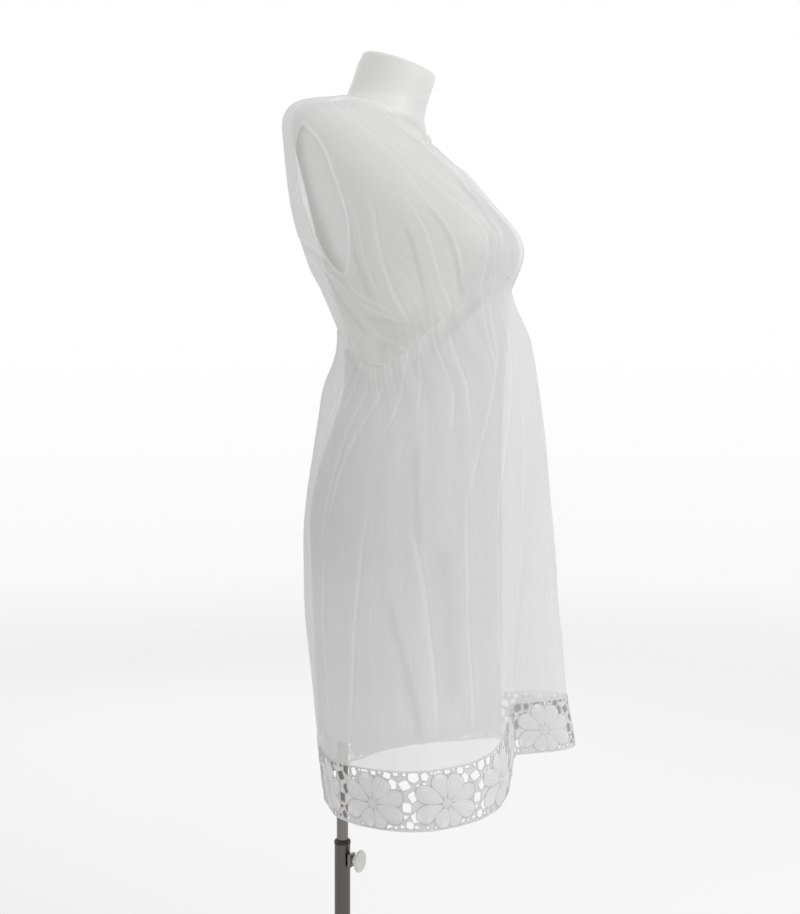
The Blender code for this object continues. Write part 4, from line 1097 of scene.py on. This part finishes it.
PETALS = rows_of(Petal, [
    (-15, 37, 23),
    (31, 37, 24),
    (73, 42, 21),
    (112, 41, 21),
    (155, 31, 20),
    (201, 30, 20),
    (248, 42, 21),
    (296, 42, 21),
])
PETAL_FROM = 5.0
PETAL_DOME = 1.0
PETAL_WIDEST, PETAL_POINT, PETAL_FULL, PETAL_TIP = 1.78, 0.75, 2.5, 0.6
PETAL_BEND = 0.10
PETAL_OVERLAP, PETAL_ABOVE_GROUND, PETAL_INSIDE_EDGE = 0.35, 0.15, 1.2
VEIN_HEIGHT = 0.22
VEINS = 5
CORD_WIDTH = 1.0
CORD_HEIGHT = 0.7
# The middle's height above the edge, the width and the height of the cords along the lace's two edges
LOWER_CORD, UPPER_CORD = (0.9, 1.8, 0.9), (69.0, 1.6, 0.7)
PETAL_GRID, HEART_GRID = (16, 12), (48, 7)
PETAL_CORD_STEPS, CORD_ROWS, RIM_ROWS = 36, 4, 3
HEART_RADIUS = 6.5
HEART_RISE, HEART_STITCHES, STITCH_RISE = 0.9, 24, 0.18
# Painted shading on the lace, from -1 to 1: painted shade on the cords, the opening rims and the veins'
# troughs, and a painted highlight on the petals
GROUND_PAINTED_SHADING, RIM_PAINTED_SHADE, CORD_PAINTED_SHADE, PETAL_PAINTED_HIGHLIGHT, VEIN_PAINTED_SHADING = 0.0, -0.4, -1.0, 0.3, 0.25


def lace_lengths():
    """Turns all round from the lace's start, and the length along the lace to each."""
    turns = np.linspace(LACE_START_TURN, LACE_START_TURN + 360, 360 * TURN_STEPS + 1)
    return turns, lengths_along(skirt_at(turns, hem_height(turns) + LACE_HEIGHT / 2))


LACE_TURNS, LACE_LENGTHS = lace_lengths()


def on_lace(along, up, lift):
    """Where a point of the flat lace lies on the skirt, from repeats along it, millimetres up and lift."""
    turn = np.interp(along / LACE_REPEATS * LACE_LENGTHS[-1], LACE_LENGTHS, LACE_TURNS)
    return skirt_at(turn, hem_height(turn) + up / 1000, lift / 1000)


def rounded_outline(opening):
    """An opening's outline with softened corners, in millimetres from the flower's centre."""
    corners = []
    for k in range(opening.corners):
        angle = math.radians(opening.turn) + 2 * math.pi * k / opening.corners
        corners.append(
            Vector((
                opening.along + OPENING_GROWTH * opening.width / 2 * math.sin(angle),
                opening.up + OPENING_GROWTH * opening.height / 2 * math.cos(angle),
            ))
        )
    outline = []
    for k, corner in enumerate(corners):
        before, after = corners[k - 1], corners[(k + 1) % len(corners)]
        start, end = corner.lerp(before, CORNER_ROUND), corner.lerp(after, CORNER_ROUND)
        outline += [start, (start + end) / 4 + corner / 2, end]
    return outline


def filled(outlines):
    """A flat face between the first outline and the others, which are its holes, as triangles."""
    bm = bmesh.new()
    for outline in outlines:
        verts = [bm.verts.new((x, y, 0)) for x, y in outline]
        for k in range(len(verts)):
            bm.edges.new((verts[k], verts[(k + 1) % len(verts)]))
    bmesh.ops.triangle_fill(bm, use_beauty=True, use_dissolve=False, edges=bm.edges[:], normal=(0, 0, 1))
    return bm


def lace_ground():
    """One flat repeat of the lace with its openings, cut fine enough to follow the skirt's curve."""
    height = LACE_HEIGHT * 1000
    shares = [k / LACE_STEPS for k in range(LACE_STEPS + 1)]
    edge = [(REPEAT_FROM + REPEAT_LENGTH * share, 0.0) for share in shares]
    rim = edge + [(REPEAT_FROM + REPEAT_LENGTH * (1 - share), height) for share in shares]
    holes = [[(p.x, p.y + FLOWER_ABOVE_EDGE) for p in rounded_outline(opening)] for opening in OPENINGS]
    bm = filled([rim] + holes)
    cuts = [((REPEAT_FROM + REPEAT_LENGTH * k / CUTS_ACROSS, 0, 0), (1, 0, 0)) for k in range(1, CUTS_ACROSS)]
    cuts += [((0, height * k / CUTS_UP, 0), (0, 1, 0)) for k in range(1, CUTS_UP)]
    for place, way in cuts:
        geometry = bm.verts[:] + bm.edges[:] + bm.faces[:]
        bmesh.ops.bisect_plane(bm, geom=geometry, plane_co=place, plane_no=way, dist=1e-4)
    # The ground takes the middle level of painted shading
    painted_shading = bm.verts.layers.float.new("painted_shading")
    for vert in bm.verts:
        vert[painted_shading] = GROUND_PAINTED_SHADING
    return bm


def rim_place(opening):
    """The overcast rim of an opening, as a low round cord just outside it, darkened with painted shade."""
    outline = np.array(rounded_outline(opening))
    middle = np.array([opening.along, opening.up])
    outward = normalised(outline - middle)

    def place(across, up):
        spot = np.round(across * len(outline)).astype(int) % len(outline)
        flat = outline[spot] + outward[spot] * (RIM_WIDTH * (up - 0.1))[:, None]
        top = LACE_HEIGHT * 1000 - RIM_INSIDE_EDGE
        flat[:, 1] = np.clip(flat[:, 1] + FLOWER_ABOVE_EDGE, RIM_INSIDE_EDGE, top)
        return np.column_stack([flat, OTHER_CORD_BASE + RIM_HEIGHT * rounded(up), np.full(len(up), RIM_PAINTED_SHADE)])

    return place


def petal_place(petal):
    """A padded petal: pointed at the heart, round at its tip, domed and ribbed along its length."""
    angle = math.radians(petal.turn)
    out = np.array([math.sin(angle), math.cos(angle)])
    side = np.array([out[1], -out[0]])
    overlap = PETAL_OVERLAP * (PETALS.index(petal) % 2)
    low, high = PETAL_INSIDE_EDGE, LACE_HEIGHT * 1000 - FLOWER_ABOVE_EDGE - PETAL_INSIDE_EDGE

    def place(across, up):
        share = 2 * across - 1
        reach = PETAL_FROM + (petal.reach - PETAL_FROM) * up
        inside = np.clip(up, 0, 1)
        taper = np.clip(1 - inside**PETAL_FULL, 0, 1) ** PETAL_TIP
        half = petal.width / 2 * PETAL_WIDEST * inside**PETAL_POINT * taper
        bend = PETAL_BEND * petal.width * np.sin(np.pi * up)
        flat = reach[:, None] * out + (share * half + bend * 0.3)[:, None] * side
        flat[:, 1] = np.clip(flat[:, 1], low - FLOWER_ABOVE_EDGE, high)
        dome = PETAL_DOME * (1 - share**2) * np.sin(np.pi * np.clip(up, 0.02, 0.98)) ** 0.5
        veins = VEIN_HEIGHT * np.cos(np.pi * VEINS * share) * (1 - share**2) * smooth_step(up / 0.2)
        # A painted highlight on the petal, with painted shade in the troughs between its ribs
        painted_shading = PETAL_PAINTED_HIGHLIGHT + VEIN_PAINTED_SHADING * (veins / VEIN_HEIGHT - 0.5)
        rise = PETAL_ABOVE_GROUND + overlap + dome + veins
        return np.stack([flat[:, 0], flat[:, 1] + FLOWER_ABOVE_EDGE, rise, painted_shading], axis=-1)

    return place


def petal_cord(petal):
    """The corded outline of a petal, up one side and down the other, darkened with painted shade."""
    surface = petal_place(petal)

    def place(across, up):
        first_side = across < 0.5
        side = np.where(first_side, 0.0, 1.0)
        run = np.where(first_side, 2 * across, 2 - 2 * across)
        middle = surface(side, run)
        ahead = surface(side, np.clip(run + 0.01, 0, 1)) - surface(side, np.clip(run - 0.01, 0, 1))
        ahead = ahead * np.where(first_side, 1, -1)[:, None]
        ahead[:, 2] = 0
        across_cord = normalised(np.stack([ahead[:, 1], -ahead[:, 0]], axis=-1) + 1e-9)
        offset = (up - 0.5) * CORD_WIDTH
        return np.stack(
            [
                middle[:, 0] + across_cord[:, 0] * offset,
                middle[:, 1] + across_cord[:, 1] * offset,
                OTHER_CORD_BASE + CORD_HEIGHT * rounded(up),
                np.full(len(up), CORD_PAINTED_SHADE),
            ],
            axis=-1,
        )

    return place


def heart_place(across, up):
    """A flower's round heart, with a ring of radial stitches and a raised middle."""
    angle = 2 * np.pi * across
    radius = HEART_RADIUS * up
    stitches = STITCH_RISE * np.cos(HEART_STITCHES * angle) * smooth_step((up - 0.35) / 0.2)
    ring = 0.5 * np.exp(-(((up - 0.86) / 0.12) ** 2)) + 0.4 * np.exp(-((up / 0.35) ** 2))
    rise = HEART_RISE + ring + stitches - 0.7 * up**4
    return np.stack([radius * np.sin(angle), FLOWER_ABOVE_EDGE + radius * np.cos(angle), rise], axis=-1)


def edge_cord(up_middle, width, height):
    """A round cord along a repeat of the lace."""

    def place(across, up):
        offset = (up - 0.5) * width
        along = REPEAT_FROM + REPEAT_LENGTH * across
        return np.stack([along, up_middle + offset, EDGE_CORD_BASE + height * rounded(up)], axis=-1)

    return place


ground = mesh_from(lace_ground())
raised = []
for petal in PETALS:
    raised.append(mesh_from(laid_grid(*PETAL_GRID, petal_place(petal))))
    raised.append(mesh_from(laid_grid(PETAL_CORD_STEPS, CORD_ROWS, petal_cord(petal))))
for opening in OPENINGS:
    raised.append(mesh_from(laid_grid(3 * opening.corners, RIM_ROWS, rim_place(opening), close=True)))
raised.append(mesh_from(laid_grid(*HEART_GRID, heart_place, close=True)))
raised.append(mesh_from(laid_grid(LACE_STEPS, CORD_ROWS, edge_cord(*LOWER_CORD))))
raised.append(mesh_from(laid_grid(LACE_STEPS, CORD_ROWS, edge_cord(*UPPER_CORD))))

cutwork, tree = new_material("stitched_cutwork")
# Satin-stitched cotton: close mercerised threads give the petals a slight silky sheen
threads = thread_noise(tree, (900.0, 260.0, 1.0), 2.0)[1]
thread_share = darkened(tree, 0.12, threads, painted_shading_share(tree))
# The painted shading mixes between a painted shade colour and a painted highlight colour
lace_tint = add_node(
    tree,
    "Mix",
    {0: thread_share, "A": linear("#C8C8C8"), "B": linear("#F2F2F2")},
    data_type="RGBA",
)
lace_bump = add_node(tree, "Bump", {"Height": threads, "Strength": 0.35, "Distance": 0.0003})
lace_cloth = add_node(
    tree,
    "BsdfPrincipled",
    {
        "Base Color": lace_tint.outputs["Result"],
        "Roughness": 0.62,
        "Sheen Weight": 0.2,
        "Normal": lace_bump,
    },
)
lace_glow = add_node(tree, "BsdfTranslucent", {"Color": lace_tint.outputs["Result"]})
lace_whole = add_node(tree, "MixShader", {0: LACE_SHINE_THROUGH, 1: lace_cloth, 2: lace_glow})
add_node(tree, "OutputMaterial", {0: lace_whole})


def flat_places(bm):
    """The places of flat lace in millimetres, which its UV map then holds in metres."""
    bm.verts.index_update()
    places = np.array([vert.co for vert in bm.verts])
    uv = bm.loops.layers.uv.verify()
    for face in bm.faces:
        for loop in face.loops:
            spot = places[loop.vert.index]
            loop[uv].uv = (spot[0] / 1000, spot[1] / 1000)
    return places


def on_skirt(name, bm, first):
    """A piece of flat lace, in millimetres from the run's first repeat, laid on the skirt."""
    places = flat_places(bm)
    along = first + (places[:, 0] - REPEAT_FROM) / REPEAT_LENGTH
    for vert, spot in zip(bm.verts, on_lace(along, places[:, 1], places[:, 2] - LACE_SUNK)):
        vert.co = spot
    return finished(name, bm, cutwork, sharp=50)


def repeated(meshes, count, length):
    """Flat meshes set side by side, count times over."""
    bm = bmesh.new()
    # This layer holds the painted shading of the pieces set in it
    bm.verts.layers.float.new("painted_shading")
    for mesh in meshes:
        for k in range(count):
            before = len(bm.verts)
            bm.from_mesh(mesh)
            bm.verts.ensure_lookup_table()
            bmesh.ops.translate(bm, vec=(length * k, 0, 0), verts=bm.verts[before:])
    bmesh.ops.remove_doubles(bm, verts=bm.verts, dist=0.01)
    return bm


def lace_run(node, first, count):
    """A run of repeats laid on the skirt: its cut ground as a thin wall, and what is stitched on it above."""
    bm = repeated([ground], count, REPEAT_LENGTH)
    bmesh.ops.recalc_face_normals(bm, faces=bm.faces)
    if sum(face.normal.z for face in bm.faces) < 0:
        bmesh.ops.reverse_faces(bm, faces=bm.faces)
    bmesh.ops.solidify(bm, geom=bm.faces[:], thickness=LACE_CLOTH * 1000)
    cloth = on_skirt(node + "_ground", bm, first)
    stitching = on_skirt(node + "_stitching", repeated(raised, count, REPEAT_LENGTH), first)
    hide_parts(node)


half = LACE_REPEATS // 2
lace_run("hem_lace_right", 0, half)
lace_run("hem_lace_left", half, LACE_REPEATS - half)

# The neck lace: the same cutwork as a narrow trim down each front, with round eyelets and a scalloped edge.
TRIM_WIDTH = 16.0
TRIM_REPEAT = 12.0
SCALLOP = 2.6
TRIM_TAPER = 0.022
TRIM_START = 0.30
SCALLOP_CORD_WIDTH, SCALLOP_CORD_HEIGHT = 1.2, 0.6
Eyelet = namedtuple("Eyelet", "along up width height")
EYELETS = rows_of(Eyelet, [
    (6.0, 10.8, 3.4, 3.2),
    (2.2, 6.2, 2.4, 3.0),
    (9.8, 6.2, 2.4, 3.0),
    (6.0, 3.2, 2.2, 2.0),
])
EYELET_POINTS, TRIM_STEPS, SCALLOP_STEPS, TRIM_POINTS = 10, 12, 14, 160
TRIM_DROP = 0.0008
RIGHT_TRIM_UNTIL, LEFT_TRIM_UNTIL = 0.99, 0.66


def trim_tile():
    """One flat repeat of the trim, in millimetres: straight at its seam and scalloped at its free edge."""
    rim = [(TRIM_REPEAT * k / TRIM_STEPS, 0.0) for k in range(TRIM_STEPS + 1)]
    for k in range(TRIM_STEPS + 1):
        share = 1 - k / TRIM_STEPS
        rim.append((TRIM_REPEAT * share, TRIM_WIDTH - SCALLOP + SCALLOP * math.sin(math.pi * share)))
    outlines = [rim]
    angles = [2 * math.pi * k / EYELET_POINTS for k in range(EYELET_POINTS)]
    for eyelet in EYELETS:
        half_width, half_height = eyelet.width / 2, eyelet.height / 2
        outlines.append([
            (eyelet.along + half_width * math.sin(angle), eyelet.up + half_height * math.cos(angle))
            for angle in angles
        ])
    return filled(outlines)


def scallop_cord(across, up):
    edge = TRIM_WIDTH - SCALLOP + SCALLOP * np.sin(np.pi * across)
    rise = EDGE_CORD_BASE + SCALLOP_CORD_HEIGHT * rounded(up)
    return np.stack([TRIM_REPEAT * across, edge - SCALLOP_CORD_WIDTH * (1 - up), rise], axis=-1)


trim_flat = mesh_from(trim_tile())
trim_cord = mesh_from(laid_grid(SCALLOP_STEPS, CORD_ROWS, scallop_cord))


def trim_run(name, node, side, until, drop):
    """The trim laid along a front's neckline, from the end of the binding until a share of its length."""
    edge = along_path(neckline_edge(side), np.linspace(BOUND_SHARE, until, TRIM_POINTS))[::-side]
    inner, outer = shifted(edge, SEAM_GAP), shifted(edge, TRIM_WIDTH / 1000)
    length = lengths_along(bodice_at(edge[:, 0], edge[:, 1]))
    count = int(round(length[-1] * 1000 / TRIM_REPEAT))
    bm = repeated([trim_flat, trim_cord], count, TRIM_REPEAT)
    flat = flat_places(bm)
    along = flat[:, 0] / (TRIM_REPEAT * count) * length[-1]
    # The trim comes out narrow from under the binding's end
    from_binding = along if side < 0 else length[-1] - along
    taper = TRIM_START + (1 - TRIM_START) * smooth_step(from_binding / TRIM_TAPER)
    share = flat[:, 1] / TRIM_WIDTH * taper
    near, far = ([np.interp(along, length, line[:, k]) for k in (0, 1)] for line in (inner, outer))
    spots = [a * (1 - share) + b * share for a, b in zip(near, far)]
    lift = flat[:, 2] / 1000 - TRIM_DROP + (under_drop(spots[0], spots[1]) if drop else 0.0)
    for vert, spot in zip(bm.verts, bodice_at(spots[0], spots[1], lift)):
        vert.co = spot
    bmesh.ops.recalc_face_normals(bm, faces=bm.faces)
    piece = finished(name, bm, cutwork, sharp=60)
    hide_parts(node)


trim_run("neck_lace_right_trim", "neck_lace_right", -1, RIGHT_TRIM_UNTIL, False)
trim_run("neck_lace_left_trim", "neck_lace_left", 1, LEFT_TRIM_UNTIL, True)

# The stand: a bright steel tube that slides in a darker one, a black bushing between them, a clamp with a
# pale thumb screw, and a plain painted base plate with its socket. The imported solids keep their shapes.


def metal(name, colour, roughness, grain):
    """Metal with fine lines drawn out along the tube, seen as uneven roughness."""
    made, tree = new_material(name)
    place = add_node(tree, "TexCoord")
    drawn_out = (grain, grain, grain / 40)
    run = add_node(tree, "Mapping", {0: place.outputs["Object"], "Scale": drawn_out})
    lines = add_node(tree, "TexNoise", {"Vector": run, "Scale": 1.0, "Detail": 3.0})
    sheen = add_node(
        tree,
        "MapRange",
        {0: lines.outputs["Fac"], 1: 0.2, 2: 0.8, 3: roughness - 0.08, 4: roughness + 0.10},
    )
    shader = add_node(
        tree,
        "BsdfPrincipled",
        {"Base Color": linear(colour), "Metallic": 1.0, "Roughness": sheen},
    )
    add_node(tree, "OutputMaterial", {0: shader})
    return made


def plastic(name, colour, roughness, grain):
    """A moulded or coated face with a fine grain."""
    made, tree = new_material(name)
    place = add_node(tree, "TexCoord")
    speckle = add_node(tree, "TexNoise", {"Vector": place.outputs["Object"], "Scale": grain, "Detail": 2.0})
    bump = add_node(tree, "Bump", {"Height": speckle.outputs["Fac"], "Strength": 0.12, "Distance": 0.0002})
    shader = add_node(
        tree,
        "BsdfPrincipled",
        {"Base Color": linear(colour), "Roughness": roughness, "Normal": bump},
    )
    add_node(tree, "OutputMaterial", {0: shader})
    return made


STAND_LOOKS = {
    "outer_tube": metal("drawn_steel_outer", "#625D5A", 0.26, 900),
    "inner_tube": metal("drawn_steel_inner", "#7C7774", 0.22, 900),
    "base_socket": metal("turned_steel", "#8A8784", 0.36, 700),
    "form_flange": metal("turned_flange", "#8A8784", 0.36, 700),
    "clamp_block": metal("clamp_steel", "#7E7B78", 0.38, 700),
    "bushing": plastic("moulded_nylon", "#1A1A1A", 0.50, 900),
    "thumb_screw": plastic("moulded_knob", "#C4C4C2", 0.42, 700),
    "base_plate": plastic("powder_coated_plate", "#E4E4E4", 0.50, 1400),
}
for node, look in STAND_LOOKS.items():
    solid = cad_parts[node]
    solid.data.materials.clear()
    solid.data.materials.append(look)
